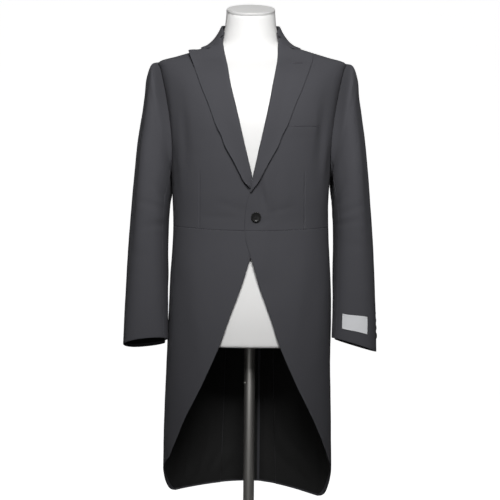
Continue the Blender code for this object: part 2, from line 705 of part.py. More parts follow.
def make_collar(paint):
    """Leaf, fold and stand in one wall from the right gorge round the back of the neck to the left one."""
    count = 12
    along = np.linspace(0, 1, count)[:, None]
    leaf_share = np.linspace(0, 1, 6)
    gorge = np.array(GORGE, float)
    on_gorge = NOTCH_SHARE + (1 - NOTCH_SHARE) * leaf_share
    gorge_x = np.interp(on_gorge, gorge[:, 2], gorge[:, 1])
    gorge_z = np.interp(on_gorge, gorge[:, 2], gorge[:, 0]) + 1.2
    start = TURNED.angle_at_x(gorge_x, gorge_z) + 0.6
    angle = start + (180 - start) * along
    edge_z = np.interp(angle, *np.transpose(COLLAR_EDGE))
    crest_z = np.interp(angle, *np.transpose(COLLAR_CREST))
    z = edge_z + (crest_z - edge_z) * leaf_share
    z = z + (gorge_z - z[0]) * (1 - along) ** 4
    crest_angle = angle[:, -1:]
    crest = z[:, -1:]
    stand_share = np.linspace(0, 1, 4)
    stand_angle = np.maximum(crest_angle, COLLAR_LEAST_ANGLE) + 0 * stand_share
    stand_z = crest + (NECK_Z + 2 * SEAM_GAP - crest) * stand_share

    def half(side):
        leaf, leaf_out = skin(TURNED, side, angle, z)
        stand, stand_out = skin(COAT, side, stand_angle, stand_z)
        fold = (leaf[:, -1:] + stand[:, :1]) / 2
        top = np.array((0, 0, COLLAR_FOLD_HIGH))
        under = top - (0, 0, CLOTH + 0.2)
        outer = np.concatenate([leaf, fold + top, stand], axis=1)
        inner = np.concatenate([leaf - leaf_out * CLOTH, fold + under, stand + stand_out * CLOTH], axis=1)
        return outer, inner

    left_outer, left_inner = half(1)
    right_outer, right_inner = half(-1)
    outer = np.concatenate([right_outer, left_outer[::-1][1:]])
    inner = np.concatenate([right_inner, left_inner[::-1][1:]])
    return wall("collar", paint, outer, inner)


# Sleeves
def sleeve_rings(side, turns, grow, gap):
    """Rings of points at the sleeve's sections for the turns given: 0 is the outer side and 90 the back."""
    way = np.radians(turns)
    y, z = armhole(turns - 180.0, grow)
    loop, facing = skin(COAT, 1, COAT.angle_at_y(y, z), z)
    rings = [loop + facing * gap]
    for index, row in enumerate(SLEEVE_SECTIONS):
        inner_x, inner_z, outer_x, outer_z, half_depth, middle_y, squareness = row
        across = signed_power(np.cos(way), 2 / squareness)
        x = (inner_x + outer_x) / 2 + (outer_x - inner_x) / 2 * across
        z = (inner_z + outer_z) / 2 + (outer_z - inner_z) / 2 * across
        y = middle_y + half_depth * signed_power(np.sin(way), 2 / squareness)
        if index == len(SLEEVE_SECTIONS) - 1:
            hem, outer_drop, back_drop = CUFF_HEM[side]
            z = hem - outer_drop * (1 + across) / 2 - back_drop * (1 + np.sin(way)) / 2
        clearance = SLEEVE_CLEARANCE + ARMPIT_OPEN[side] * falloff(z - ARMPIT_Z, ARMPIT_REACH)
        rings.append(np.stack([np.maximum(x, COAT.x_at_y(y, z) + clearance), y, z], axis=-1))
    return np.array(rings)


def sleeve_skin(side, turn, row):
    """Points and outward normals of a sleeve at turns and section rows, as two equal grids."""
    turn, row = np.broadcast_arrays(np.array(turn, float), np.array(row, float))

    def at(turn_step, row_step):
        steps = 24
        fine = smooth_rows(sleeve_rings(side, (turn + turn_step).ravel(), SLEEVE_GROW, SLEEVE_GAP), steps)
        place = np.clip((row + row_step).ravel() * steps, 0, len(fine) - 1)
        low = np.minimum(place.astype(int), len(fine) - 2)
        share = (place - low)[:, None]
        columns = np.arange(turn.size)
        spot = fine[low, columns] * (1 - share) + fine[low + 1, columns] * share
        return spot.reshape(turn.shape + (3,)) * (side, 1, 1)

    round_step = at(1.5, 0) - at(-1.5, 0)
    down_step = at(0, 0.05) - at(0, -0.05)
    normals = np.cross(down_step, round_step) * side
    normals /= np.linalg.norm(normals, axis=-1, keepdims=True)
    return at(0, 0), normals


def sleeve_seam_gap(side, turn, row, distance):
    ahead, _ = sleeve_skin(side, turn + 1, row)
    here, _ = sleeve_skin(side, turn, row)
    return distance / np.linalg.norm(ahead - here, axis=-1)


def hind_seam(side, row):
    return np.interp(row, (0, 5, 11), SLEEVE_HIND_SEAM[side])


def sleeve_turns(side, rows):
    """The turns of the top sleeve's and the under sleeve's columns, closest at the sleeve head."""
    hind = hind_seam(side, rows)
    hind_gap = sleeve_seam_gap(side, hind, rows, SLEEVE_SEAM_GAP / 2)
    front = np.full(len(rows), SLEEVE_FRONT_SEAM)
    front_gap = sleeve_seam_gap(side, front, rows, SLEEVE_SEAM_GAP / 2)
    low, high = (front + front_gap)[:, None], (hind - hind_gap)[:, None]
    place = np.linspace(-1, 1, 19)
    top = np.where(place < 0, -low, high) * signed_power(place, 1.25)
    return top, between(hind + hind_gap, front + 360 - front_gap, 9)


def make_sleeve(side, paint):
    rows = np.array(SLEEVE_ROWS, float)
    for kind, turn in zip(("top", "under"), sleeve_turns(side, rows)):
        spots, normals = sleeve_skin(side, turn, rows[:, None] + 0 * turn)
        inner = spots - normals * CLOTH
        inner[0] = sleeve_rings(side, turn[0], SLEEVE_GROW - CLOTH, SLEEVE_GAP)[0] * (side, 1, 1)
        wall(f"{kind}_sleeve_{side_name(side)}", paint, spots, inner)


def make_cuff_lining(side, paint):
    """A satin tube inside the end of the sleeve, on the columns of the cloth round it."""
    rows = np.array(CUFF_LINING_ROWS)
    top, under = sleeve_turns(side, rows)
    turn = np.concatenate([top, under], axis=1)
    spots, normals = sleeve_skin(side, turn, rows[:, None] + 0 * turn)
    outer = spots - normals * (CLOTH + LINING_GAP)
    return wall(f"cuff_lining_{side_name(side)}", paint, outer, outer - normals * LINING, tube=True)


# Trimmings
def make_welt(paint):
    rows = np.linspace(BREAST_WELT["low_z"], BREAST_WELT["high_z"], 3)[:, None]
    across = np.linspace(BREAST_WELT["low_x"], BREAST_WELT["high_x"], 7)
    z = rows + BREAST_WELT["rise"] * np.linspace(0, 1, 7)
    angle = COAT.angle_at_x(across + 0 * z, z)
    outer, inner = wall_points(COAT, 1, angle, z, 0, TRIM_GAP + BREAST_WELT["thick"], TRIM_GAP)
    return wall("breast_welt", paint, outer, inner)


def make_label(paint):
    turn = np.linspace(*LABEL["turn"], 6)[None, :]
    row = np.linspace(*LABEL["row"], 4)[:, None] + LABEL["slant"] * np.linspace(0, 1, 6)
    spots, normals = sleeve_skin(1, turn + 0 * row, row)
    outer = spots + normals * (TRIM_GAP + LABEL["thick"])
    return wall("sleeve_label", paint, outer, spots + normals * TRIM_GAP)


def make_front_button(paint):
    x, z = FRONT_BUTTON["x"], FRONT_BUTTON["z"]
    angle = COAT.angle_at_x(x, z)
    points, normals = skin(COAT, 1, angle, z)
    lift = front_lift(1, x, z) + folds(1, angle, z)
    button("front_button", paint, points + normals * lift, normals, FRONT_BUTTON["radius"], FRONT_BUTTON["thick"])


def make_hip_buttons(side, paint):
    """A button at the top of each pleat."""
    z = HIP_BUTTON["z"]
    x = float(back_seam_x(z)) - HIP_BUTTON["inset"]
    angle = COAT.angle_at_x(x, z, behind=True)
    points, normals = skin(COAT, side, angle, z)
    lift = tail_lift(side, angle, x, z)
    button(f"hip_button_{side_name(side)}", paint, points + normals * lift, normals, HIP_BUTTON["radius"],
           HIP_BUTTON["thick"])


def make_cuff_buttons(side, paint):
    """A row of buttons beside the hind seam, spaced by length up from the hem."""
    rows = np.linspace(11, 8.5, 120)
    seam = hind_seam(side, rows)
    turn = seam - sleeve_seam_gap(side, seam, rows, CUFF_BUTTON["in_from_seam"])
    spots, normals = sleeve_skin(side, turn, rows)
    length = np.concatenate([[0], np.cumsum(np.linalg.norm(np.diff(spots, axis=0), axis=1))])
    for index in range(CUFF_BUTTON["count"]):
        place = np.searchsorted(length, CUFF_BUTTON_FROM_HEM[side] + index * CUFF_BUTTON["spacing"])
        button(f"cuff_button_{side_name(side)}_{index + 1}", paint, spots[place], normals[place],
               CUFF_BUTTON["radius"], CUFF_BUTTON["thick"])


# Form and stand
def form_rings():
    """The form's table: the coat's rings moved in by their clearance, then the bare neck."""
    rows = np.array(COAT_RINGS, float)
    rows = rows[rows[:, 0] >= FORM_LOWEST_RING_Z]
    inside = grown(rows[:, :6], -rows[:, 6])
    return Rings(np.vstack([inside, NECK_RINGS]))


def cap_plane(points):
    """Height of the neck's tilted top at each point."""
    return CAP_Z + (points[..., 1] - NECK_Y) * math.tan(math.radians(CAP_TILT))


def neck_top():
    """The ring of points where the tilted top cuts the neck."""
    top = form_rings().point(even_turns(FORM_SIDES), np.full(FORM_SIDES, CAP_Z))
    top[:, 2] = cap_plane(top)
    return top


def make_form(paint):
    """Torso with a flat bottom, a blind bore for the pole and a tilted neck top."""
    form = form_rings()
    heights = [*FORM_ROWS, *SHOULDER_ROWS, *NECK_ROWS]
    rings = [form.point(even_turns(FORM_SIDES), np.full(FORM_SIDES, float(height))) for height in heights]
    rings[0] = rings[0] * FORM_BOTTOM_SPREAD
    bore = [circle(FORM_SIDES, POLE_RADIUS + SEAM_GAP, FORM_BOTTOM_Z + depth) for depth in (POLE_SOCKET, 0)]
    return loft("form_torso", paint, bore + rings + [neck_top()], 50)


def make_neck_cap(paint):
    """A disc with a rounded rim on the neck's tilted top."""
    middle = np.array((0, NECK_Y, CAP_Z))
    tilt = math.radians(CAP_TILT)
    up = np.array((0, -math.sin(tilt), math.cos(tilt)))
    rings = [middle + (neck_top() - middle) * spread + up * height for spread, height in CAP_PROFILE]
    return loft("neck_cap", paint, rings, 50)


def make_stand(paint):
    foot = BASE_THICK + SEAM_GAP
    top = FORM_BOTTOM_Z + POLE_SOCKET - SEAM_GAP
    turned_disc("stand_pole", paint, ((POLE_RADIUS, 0), (POLE_RADIUS, top - foot)), POLE_SIDES, (0, 0, foot),
                (0, 0, 1))
    turned_disc("stand_base", paint, (
        (BASE_RADIUS, 0), (BASE_RADIUS, BASE_THICK - BASE_BEVEL), (BASE_RADIUS - BASE_BEVEL, BASE_THICK)),
        BASE_SIDES, (0, 0, 0), (0, 0, 1))


def main():
    for old in list(bpy.data.objects):
        bpy.data.objects.remove(old)
    wool = material("charcoal_wool", (0.054, 0.054, 0.062), 0.85)
    satin = material("black_satin", (0.008, 0.008, 0.009), 0.35)
    horn = material("black_button", (0.012, 0.012, 0.013), 0.25)
    tape = material("white_label", (0.72, 0.73, 0.75), 0.7)
    gloss = material("white_form", (0.86, 0.85, 0.84), 0.3)
    steel = material("brushed_steel", (0.45, 0.44, 0.42), 0.25, 1.0)
    for side in (1, -1):
        make_forepart(side, wool)
        make_side_body(side, wool)
        make_back(side, wool)
        make_skirt(side, wool)
        make_lapel(side, wool)
        make_sleeve(side, wool)
        make_skirt_lining(side, satin)
        make_tail_lining(side, satin)
        make_cuff_lining(side, satin)
        make_cuff_buttons(side, horn)
        make_hip_buttons(side, horn)
    make_collar(wool)
    make_welt(wool)
    make_label(tape)
    make_front_button(horn)
    make_form(gloss)
    make_neck_cap(gloss)
    make_stand(steel)


main()
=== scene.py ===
"""Looks of a charcoal morning coat on a limbless dress form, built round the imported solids.

The front faces -Y, the wearer's left is +X and the floor is z = 0. Cloth is worked out in millimetres, from
the same level rings and seams as its solids, and written in metres. An angle goes round the coat from the
centre front, 0, past the side, 90, to the centre back, 180. side is 1 on the wearer's left, -1 on the right.
"""

import math

import bmesh
import bpy
import numpy as np
from mathutils import Matrix, Vector, noise


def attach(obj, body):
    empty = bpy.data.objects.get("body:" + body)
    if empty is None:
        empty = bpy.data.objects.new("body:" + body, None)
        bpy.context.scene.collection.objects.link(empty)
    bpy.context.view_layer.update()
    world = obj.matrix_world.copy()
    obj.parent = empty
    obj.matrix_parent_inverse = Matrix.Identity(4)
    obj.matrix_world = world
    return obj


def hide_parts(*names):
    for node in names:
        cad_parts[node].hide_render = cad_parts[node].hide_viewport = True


bl_info = {
    "name": "Morning coat on a dress form",
    "version": (1, 0, 0),
    "blender": (4, 5, 0),
    "location": "View3D > Sidebar > Morning Coat",
    "description": "Builds the cloth, buttons, form, stand and studio round the packed frame",
    "category": "Add Mesh",
}

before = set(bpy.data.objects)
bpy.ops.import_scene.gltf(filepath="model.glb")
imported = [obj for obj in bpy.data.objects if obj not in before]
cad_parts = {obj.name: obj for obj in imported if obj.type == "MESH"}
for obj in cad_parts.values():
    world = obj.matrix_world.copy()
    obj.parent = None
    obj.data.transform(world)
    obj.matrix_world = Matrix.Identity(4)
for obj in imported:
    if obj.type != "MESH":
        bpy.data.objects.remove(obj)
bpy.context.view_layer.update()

METRES = 0.001

# Cloth and gaps
CLOTH = 2.0
LINING = 1.0
SEAM_GAP = 0.3
LINING_GAP = 0.4
SLEEVE_GAP = 0.5

# Heights above the floor
HEM_Z = 465.0
LINING_TOP_Z = 820.0
WAIST_Z = 1068.0
SHOULDER_Z = 1454.5
NECK_Z = 1498.0
FORM_BOTTOM_Z = 805.0

# The coat's outer surface: a level ring a row. The last column is how far the form lies inside it.
COAT_RINGS = (
    # height, half_width, front, back, squareness, middle, form_clearance
    (420, 197, 128, 152, 2.0, 0, 14),
    (465, 197, 128, 150, 2.0, 0, 14),
    (600, 195, 130, 146, 2.1, 0, 14),
    (750, 191, 132, 140, 2.2, 0, 14),
    (860, 188, 130, 134, 2.2, 0, 10),
    (960, 184, 122, 122, 2.2, 0, 11),
    (1068, 178.5, 114, 108, 2.25, 0, 14),
    (1150, 181, 122, 112, 2.3, 0, 12),
    (1230, 186, 130, 124, 2.3, 1, 9),
    (1310, 192, 132, 132, 2.35, 2, 7),
    (1370, 200, 122, 128, 2.3, 4, 7),
    (1410, 207, 104, 112, 2.2, 6, 6),
    (1436, 212, 82, 92, 2.1, 8, 4.5),
    (1454.5, 214, 62, 74, 2.0, 10, 3.2),
    (1465.6, 178, 55, 68, 2.0, 10.5, 3.1),
    (1477, 140, 52, 64, 2.0, 11, 3.1),
    (1489, 100, 54, 61, 2.0, 12, 3.1),
    (1497, 76, 55, 61, 2.0, 14, 3.4),
    (1510, 70, 54, 60, 2.0, 14, 4),
    (1530, 65, 53, 60, 2.0, 14, 4.5),
    (1545, 62.5, 52.5, 59.5, 2.0, 14, 4),
    (1560, 61, 52, 59, 2.0, 14, 4),
)
NECK_RINGS = (
    # height, half_width, front, back, squareness, middle: the form's neck above the coat
    (1575, 56, 46, 53, 2.0, 14),
    (1600, 55, 45, 52, 2.0, 14),
)
COLLAR_RINGS = (
    # height, half_width, front, back, squareness, middle: the outside of the turned collar leaf
    (1493, 103, 57, 69.5, 2.0, 14),
    (1501, 92, 51, 70, 2.0, 14),
    (1510, 84, 47, 69.5, 2.0, 14),
    (1520, 77, 45, 69, 2.0, 14),
    (1530, 71.5, 45, 68, 2.0, 14),
    (1540, 67.5, 46, 66.5, 2.0, 14),
    (1555, 66, 48, 64.5, 2.0, 14),
    (1570, 65, 48, 64, 2.0, 14),
)

# Seams and edges. A negative x lies past the centre, on the other side.
FRONT_EDGE = {
    # side: height, x: the buttoned edge, then the roll line that the lapel turns over
    1: ((1000, 2), (1044, -10.6), (1075, -13.8), (1099, -13.6), (1125, -10), (1152, -1.8), (1170, 0.5),
        (1192, 5.1), (1232, 13.6), (1260, 19.8), (1293, 27), (1330, 35), (1360, 40.6), (1391, 46), (1436, 54),
        (1466, 59.5), (1500, 63.6), (1512, 66)),
    -1: ((1000, 2), (1044, -10.6), (1075, -13.8), (1099, -13.6), (1125, -10), (1152, -3.4), (1172, -2),
         (1185, -2.2), (1216, 5.3), (1260, 16.2), (1310, 27.8), (1350, 37.5), (1391, 47.5), (1436, 55),
         (1466, 60), (1500, 64), (1512, 66)),
}
CUTAWAY = {
    # side: height, x
    1: ((560, 185), (600, 169.5), (650, 147), (720, 110), (805, 69.5), (870, 46), (940, 20), (1000, 2),
        (1044, -10.6), (1075, -13.8)),
    -1: ((560, 179), (600, 163), (650, 142), (720, 107), (805, 69), (870, 46), (940, 20), (1000, 2),
         (1044, -10.6), (1075, -13.8)),
}
CORNER_TOP_Z = 560.0
HEM_CORNER = {
    # side: height, angle
    1: ((465, 121), (469, 115), (478, 109), (498, 101), (524, 91), (560, 70)),
    -1: ((465, 119), (469, 113), (478, 107), (498, 98), (524, 87), (560, 64)),
}
SIDE_SEAM_ANGLE = 72.0
SHOULDER_ANGLE = 95.4
BACK_SEAM = (
    # height, x: the edge of the tail's pleat below the waist, the back seam above it
    (465, 78), (600, 73), (760, 68.5), (900, 64.5), (1010, 61.5), (1050, 60.5), (1075, 63), (1100, 75),
    (1135, 98), (1170, 118), (1210, 136), (1250, 149),
)
LAPEL_EDGE = (
    # height, x: from the break to the tip of the peak
    (1177, 18.5), (1215, 38), (1250, 58), (1274, 67), (1297, 79), (1342, 96), (1374, 109.5), (1402, 120), (1437, 132),
    (1455, 138), (1468, 141),
)
LAPEL_TIP = {
    # side: height, x: the edge at the break
    1: ((1148, -1.6), (1153, 1.6), (1163, 9)),
    -1: ((1148, -6), (1157, 1.2), (1166, 9.5)),
}
GORGE = (
    # height, x, share: from the tip along the peak's top to the notch, then the seam to the neck
    (1468, 141, 0.0), (1475, 127, 0.18), (1482, 113, 0.36), (1480, 96, 0.55), (1489, 83, 0.72),
    (1499, 77, 0.86), (1512, 66, 1.0),
)
NOTCH_SHARE = 0.36
LAPEL_GAP = 1.7
LAPEL_BOTTOM_Z = {1: 1149.5, -1: 1159.0}
LAPELS_APART = 0.1
LAPEL_TOP_Z = 1506.5
LAPEL_BULGE = 2.2
LAPEL_CURL = (
    # along, out: the outer face of the roll, from behind its edge, and the inner face beside it
    (1.8, -1.7, 3.4, -0.6), (0.3, 0.2, 2.2, 0.8), (0.0, 2.8, 2.0, 2.5), (1.2, 5.0, 3.0, 3.5),
    (4.0, 6.1, 4.4, 4.1),
)
CURL_WIDTH = 16.0
CURL_LAG = 14.0
FRONT_EDGE_IN = 4.5
COLLAR_EDGE = (
    # angle, height of the leaf's lower edge
    (56, 1483.5), (90, 1492.5), (130, 1500), (180, 1503),
)
COLLAR_CREST = (
    # angle, height of the fold
    (50, 1507.9), (66, 1522.4), (90, 1536.4), (130, 1545.4), (180, 1549.4),
)
COLLAR_FOLD_HIGH = 2.6
COLLAR_LEAST_ANGLE = 62.0

# Overlaps: the left front lies on the right one, and the tails lie on the skirts and on each other.
FRONT_LIFT = 2.5
TAIL_LIFT = 2.5
PLEAT_UNDERLAP = 10.0
VENT_UNDERLAP = 25.0
VENT_TOP_Z = 1060.0
HEM_SAG = {1: 22.0, -1: 10.0}
SKIRT_NARROWING = {1: 0.035, -1: 0.0}
NARROW_FROM_Z = 940.0
NARROW_OVER = 220.0
WAIST_DIP = 5.5
WAIST_RISE = 2.0
WAIST_DIP_REACH = 90.0
BACK_CENTRE_ANGLE = 179.985

# Soft folds of the cloth
FOLDS = (
    # side, angle, height, half_angle, half_height, depth
    (1, 56, 1300, 6, 80, -2.0),
    (-1, 56, 1300, 6, 80, -2.0),
    (1, 65, 1290, 6, 70, 2.0),
    (-1, 65, 1290, 6, 70, 2.0),
    (1, 92, 1155, 14, 55, -3.0),
    (1, 150, 620, 9, 150, -3.0),
    (-1, 150, 620, 9, 150, -3.0),
)

# Armhole and sleeves
ARMHOLE_MIDDLE = 1320.8
ARMHOLE_HALF = 133.7
ARMHOLE_FRONT = 54.0
ARMHOLE_BACK = 72.0
ARMHOLE_EGG = 0.3
ARMHOLE_LOW_Y = 5.0
ARMHOLE_HIGH_Y = 17.0
SIDE_SEAM_TURN = 25.0
BACK_SEAM_TURN = 80.0
SLEEVE_SECTIONS = (
    # inner_x, inner_z, outer_x, outer_z, half_depth, middle_y, squareness
    (176, 1180, 232, 1447, 68, 9, 2.2),
    (177.5, 1172, 243, 1415, 72, 9, 2.3),
    (180, 1160, 246.5, 1375, 75, 8, 2.4),
    (182.5, 1145, 252.5, 1330, 77, 6, 2.4),
    (185.5, 1130, 261, 1270, 79, 3, 2.4),
    (187, 1110, 267.5, 1200, 79, 0, 2.4),
    (188.5, 1085, 273, 1130, 77, -3, 2.4),
    (189, 1050, 279, 1050, 73, -6, 2.4),
    (187, 950, 283.5, 950, 65, -14, 2.5),
    (185, 870, 286, 870, 53, -27, 2.5),
    (183, 815, 287.5, 815, 44, -36, 2.5),
)
CUFF_HEM = {
    # side: height, drop at the outer side, drop at the back
    1: (829.0, 31.0, 9.0),
    -1: (828.0, 12.0, 24.0),
}
SLEEVE_FRONT_SEAM = -138.0
SLEEVE_HIND_SEAM = {
    # side: angle at the armhole, elbow and cuff
    1: (100.0, 68.0, 24.0),
    -1: (100.0, 72.0, 38.0),
}
SLEEVE_CLEARANCE = 5.0
ARMPIT_OPEN = {1: 6.0, -1: 0.0}
ARMPIT_Z = 1150.0
ARMPIT_REACH = 90.0
SLEEVE_GROW = 0.2
CUFF_LINING_ROWS = (9.5, 10, 10.5, 10.85)

# Trimmings
BREAST_WELT = {"low_x": 80.0, "high_x": 153.0, "low_z": 1271.0, "high_z": 1295.0, "rise": 4.0, "thick": 1.2}
TRIM_GAP = 0.5
LABEL = {"row": (9.84, 10.42), "turn": (-119.0, -63.0), "slant": 0.1, "thick": 0.8}
FRONT_BUTTON = {"x": 11.0, "z": 1098.0, "radius": 11.0, "thick": 4.0}
CUFF_BUTTON = {"radius": 7.5, "thick": 3.2, "spacing": 17.3, "count": 4, "in_from_seam": 9.0}
CUFF_BUTTON_FROM_HEM = {1: 36.0, -1: 22.0}
HIP_BUTTON = {"inset": 10.5, "z": 1058.0, "radius": 10.0, "thick": 4.0}
BUTTON_GAP = 0.3

# Form and stand
FORM_LOWEST_RING_Z = 750
NECK_Y = 14.0
CAP_TILT = 21.0
CAP_Z = 1572.0
POLE_RADIUS = 12.5
POLE_SOCKET = 60.0
BASE_RADIUS = 190.0
BASE_THICK = 8.0
BASE_BEVEL = 2.0

# Looks that the solids leave out
SEAM = 0.06
SEAM_DROP = 0.45
EDGE_DROP = 0.75
EDGE_ROUND = 0.8
LINING_FROM_EDGE = 5.0
LAPEL_FLAT_FROM = 6.5
LAPEL_STAND_OFF = 5.5
COLLAR_LEAN = 4.5
COLLAR_LEAN_FROM = (1430.0, 1505.0)
PEAK_STAND_OFF = {1: 1.2, -1: 10.0}
SHARP_ANGLE = 70.0
BODY_CREASES = (
    # side, angle, height, tilt, half_width, half_length, depth
    (1, 5.8, 1142, -12, 8, 44, -5.0),
    (1, 8.9, 1147, -12, 6, 42, 1.8),
    (1, 21, 1150, -6, 12, 60, 1.4),
    (1, 6, 1086, 62, 6, 34, -0.9),
    (1, 17, 1112, 76, 5, 40, -0.8),
    (-1, 12, 1120, -72, 6, 42, -0.8),
    (-1, 20, 1096, -88, 5, 46, -0.7),
    (1, 52, 1270, 4, 11, 95, -1.8),
    (1, 60, 1240, -2, 9, 80, 1.6),
    (1, 68, 1215, 3, 9, 60, -1.5),
    (-1, 49, 1290, -3, 10, 100, -1.6),
    (-1, 57, 1255, 3, 9, 90, 1.6),
    (-1, 66, 1200, -4, 10, 70, -1.4),
    (1, 34, 930, 12, 22, 130, 1.3),
    (1, 46, 880, 8, 20, 150, -1.5),
    (-1, 36, 900, -14, 24, 150, 1.2),
    (-1, 50, 840, -8, 22, 160, -1.6),
    (1, 70, 640, 3, 26, 170, 2.0),
    (-1, 76, 620, -4, 26, 170, 2.0),
    (1, 118, 560, 3, 18, 140, 2.6),
    (1, 132, 590, -2, 15, 150, -2.4),
    (-1, 122, 570, -4, 18, 140, 2.6),
    (-1, 136, 600, 3, 15, 150, -2.2),
    (1, 128, 1150, 20, 16, 70, -1.2),
    (-1, 131, 1140, -24, 16, 80, -1.2),
    (1, 118, 1260, -10, 14, 80, 1.6),
    (-1, 120, 1250, 12, 14, 90, 1.6),
)
SLEEVE_CREASES = (
    # side, turn, section, tilt, half_width, half_length, depth
    (1, -82, 4.8, 2, 15, 300, 3.4),
    (1, -40, 5.4, 2, 10, 260, -1.6),
    (-1, -62, 4.8, -2, 12, 300, 2.6),
    (-1, -34, 5.0, -2, 9, 280, -1.8),
    (1, -128, 4.9, 58, 6, 34, -1.6),
    (1, -134, 5.6, 66, 6, 30, -1.3),
    (1, -96, 6.8, 74, 7, 46, -1.2),
    (1, -118, 7.3, 84, 7, 40, -1.4),
    (1, -80, 8.2, 96, 8, 44, -1.0),
    (-1, -126, 5.2, -60, 6, 36, -1.6),
    (-1, -100, 6.6, -76, 7, 48, -1.3),
    (-1, -118, 7.5, -98, 7, 42, -1.2),
    (-1, -70, 8.4, -84, 8, 40, -0.9),
    (1, 96, 6.9, 80, 8, 44, -1.6),
    (1, 110, 7.6, 96, 8, 40, -1.4),
    (-1, 98, 7.0, -82, 8, 46, -1.6),
    (-1, 112, 7.8, -96, 8, 38, -1.3),
    (1, 20, 2.6, 2, 16, 90, -1.4),
    (-1, 26, 2.8, -2, 16, 90, -1.4),
)
CREASE_REACH = 45.0
SATIN_CREASES = (
    # side, angle, height, tilt, half_width, half_length, depth
    (1, 151, 545, 46, 12, 58, 3.2),
    (1, 136, 520, 40, 10, 50, 2.6),
    (1, 158, 585, 30, 9, 40, 2.0),
    (1, 124, 500, 20, 11, 46, 2.2),
    (1, 166, 640, 8, 10, 90, 1.4),
    (-1, 161, 512, -39, 12, 46, 3.2),
    (-1, 150, 520, -24, 9, 40, 2.0),
    (-1, 134, 488, -17, 11, 40, 3.0),
    (-1, 143, 590, -8, 12, 80, 2.0),
    (-1, 124, 520, -12, 10, 50, 2.2),
)
RIPPLE = ((0.55, 62.0), (0.25, 26.0))
RIPPLE_TOP_Z = 1400.0
DARTS = {
    # side: x, top, bottom
    1: (119.0, 1203.0, 1066.0),
    -1: (115.0, 1203.0, 1066.0),
}
DART_DEPTH = 0.8
DART_HALF = 1.5
BUTTONHOLE = {"low_x": 90.0, "high_x": 113.5, "z": 1444.0, "drop": -1.2, "thread": 0.5, "half_open": 0.9}
LABEL_BORDER = 1.6
WELT_CORD = 0.55
THREAD = 0.45
SET_SCREW = {"z": 717.0, "turn": -62.0, "radius": 2.6, "out": 2.4}
FORM_FOOT_ROUND = 5.0

BUTTON_SIDES = 48
BUTTON_BEVEL = 0.45
RIM_SHARE = 0.2
DISH_SHARE = 0.22
HOLE_OFF = 0.17
HOLE_RADIUS = 0.085
HUB_RADIUS = 24.0
FORM_SEGMENTS = 112
FORM_RINGS = 84
FORM_RIM = 7.0
FORM_RIM_IN = 0.04
NECK_STRAIGHT_Z = 1545.0
CAP_RIM = (
    # spread, height above the neck's top
    (0.9, 0.3), (0.985, 0.3), (1.0, 1.6), (1.0, 4.6), (0.985, 6.4), (0.95, 7.1), (0.6, 7.3),
)

# The photograph's frame
CAMERA_AHEAD = 3.0
CAMERA_Z = 1.022
FRAME_WIDTH_THERE = 1.15
CAMERA_ROLL = -0.5
SENSOR = 36.0
FRAME_PIXELS = 500.0
OPTICAL_CENTRE_X = 250.67
FLOOR_RADIUS = 6.5
COVE_RADIUS = 1.5
WALL_HEIGHT = 5.0
STAGE_GLOW = 0.95


# Curves and rings
def smooth_rows(rows, steps=12):
    """Rows of a table joined by a smooth curve through them all."""
    rows = np.array(rows, float)
    ends = np.concatenate([[2 * rows[0] - rows[1]], rows, [2 * rows[-1] - rows[-2]]])
    smooth = []
    for before, start, end, after in zip(ends, ends[1:], ends[2:], ends[3:]):
        for share in np.arange(steps) / steps:
            bend = 2 * before - 5 * start + 4 * end - after
            twist = 3 * start - before - 3 * end + after
            smooth.append(0.5 * (2 * start + (end - before) * share + bend * share ** 2 + twist * share ** 3))
    smooth.append(rows[-1])
    return np.array(smooth)


def curve(rows):
    """A function of height that follows a table of (height, value)."""
    fine = smooth_rows(rows)
    return lambda z: np.interp(z, fine[:, 0], fine[:, 1])


def grown(rows, distance):
    """The ring table with its surface moved out, along the surface's own slope, by a distance a row."""
    rows = np.array(rows, float)
    slopes = np.gradient(rows[:, 1:4], rows[:, 0], axis=0)
    moved = rows.copy()
    moved[:, 1:4] += np.reshape(distance, (-1, 1)) * np.sqrt(1 + slopes ** 2)
    return moved


def signed_power(value, power):
    return np.sign(value) * np.abs(value) ** power


class Rings:
    """A surface of level rings, each half a superellipse in front of its middle and half behind."""

    def __init__(self, rows):
        self.fine = smooth_rows(rows)

    def ring(self, z):
        return [np.interp(z, self.fine[:, 0], self.fine[:, column]) for column in range(1, 6)]

    def point(self, angle, z):
        half, front, back, squareness, middle = self.ring(z)
        turn = np.radians(angle)
        across = half * signed_power(np.sin(turn), 2 / squareness)
        ahead = np.cos(turn)
        depth = np.where(ahead > 0, front, back)
        return np.stack([across, middle - depth * signed_power(ahead, 2 / squareness), z + 0 * across], axis=-1)

    def angle_at_x(self, x, z, behind=False):
        half, squareness = self.ring(z)[0], self.ring(z)[3]
        share = np.clip(np.abs(x) / half, 0, 1) ** (squareness / 2)
        angle = np.degrees(np.arcsin(share)) * np.where(np.less(x, 0), -1, 1)
        return 180 - angle if behind else angle

    def angle_at_y(self, y, z):
        half, front, back, squareness, middle = self.ring(z)
        ahead = middle - y
        share = np.clip(np.abs(ahead) / np.where(ahead > 0, front, back), 0, 1) ** (squareness / 2)
        return np.degrees(np.arccos(np.sign(ahead) * share))

    def x_at_y(self, y, z):
        half, front, back, squareness, middle = self.ring(z)
        ahead = middle - y
        share = np.clip(np.abs(ahead) / np.where(ahead > 0, front, back), 0, 1)
        return half * (1 - share ** squareness) ** (1 / squareness)


COAT = Rings(COAT_RINGS)
TURNED_COLUMNS = np.array([row[:6] for row in COAT_RINGS if row[0] <= 1489], float)
TURNED = Rings(np.vstack([grown(TURNED_COLUMNS, np.full(len(TURNED_COLUMNS), CLOTH + LAPEL_GAP)), COLLAR_RINGS]))


def falloff(value, reach):
    """1 at nothing, fading smoothly to 0 at the reach."""
    share = np.clip(np.abs(value) / reach, 0, 1)
    return (1 - share ** 2) ** 2


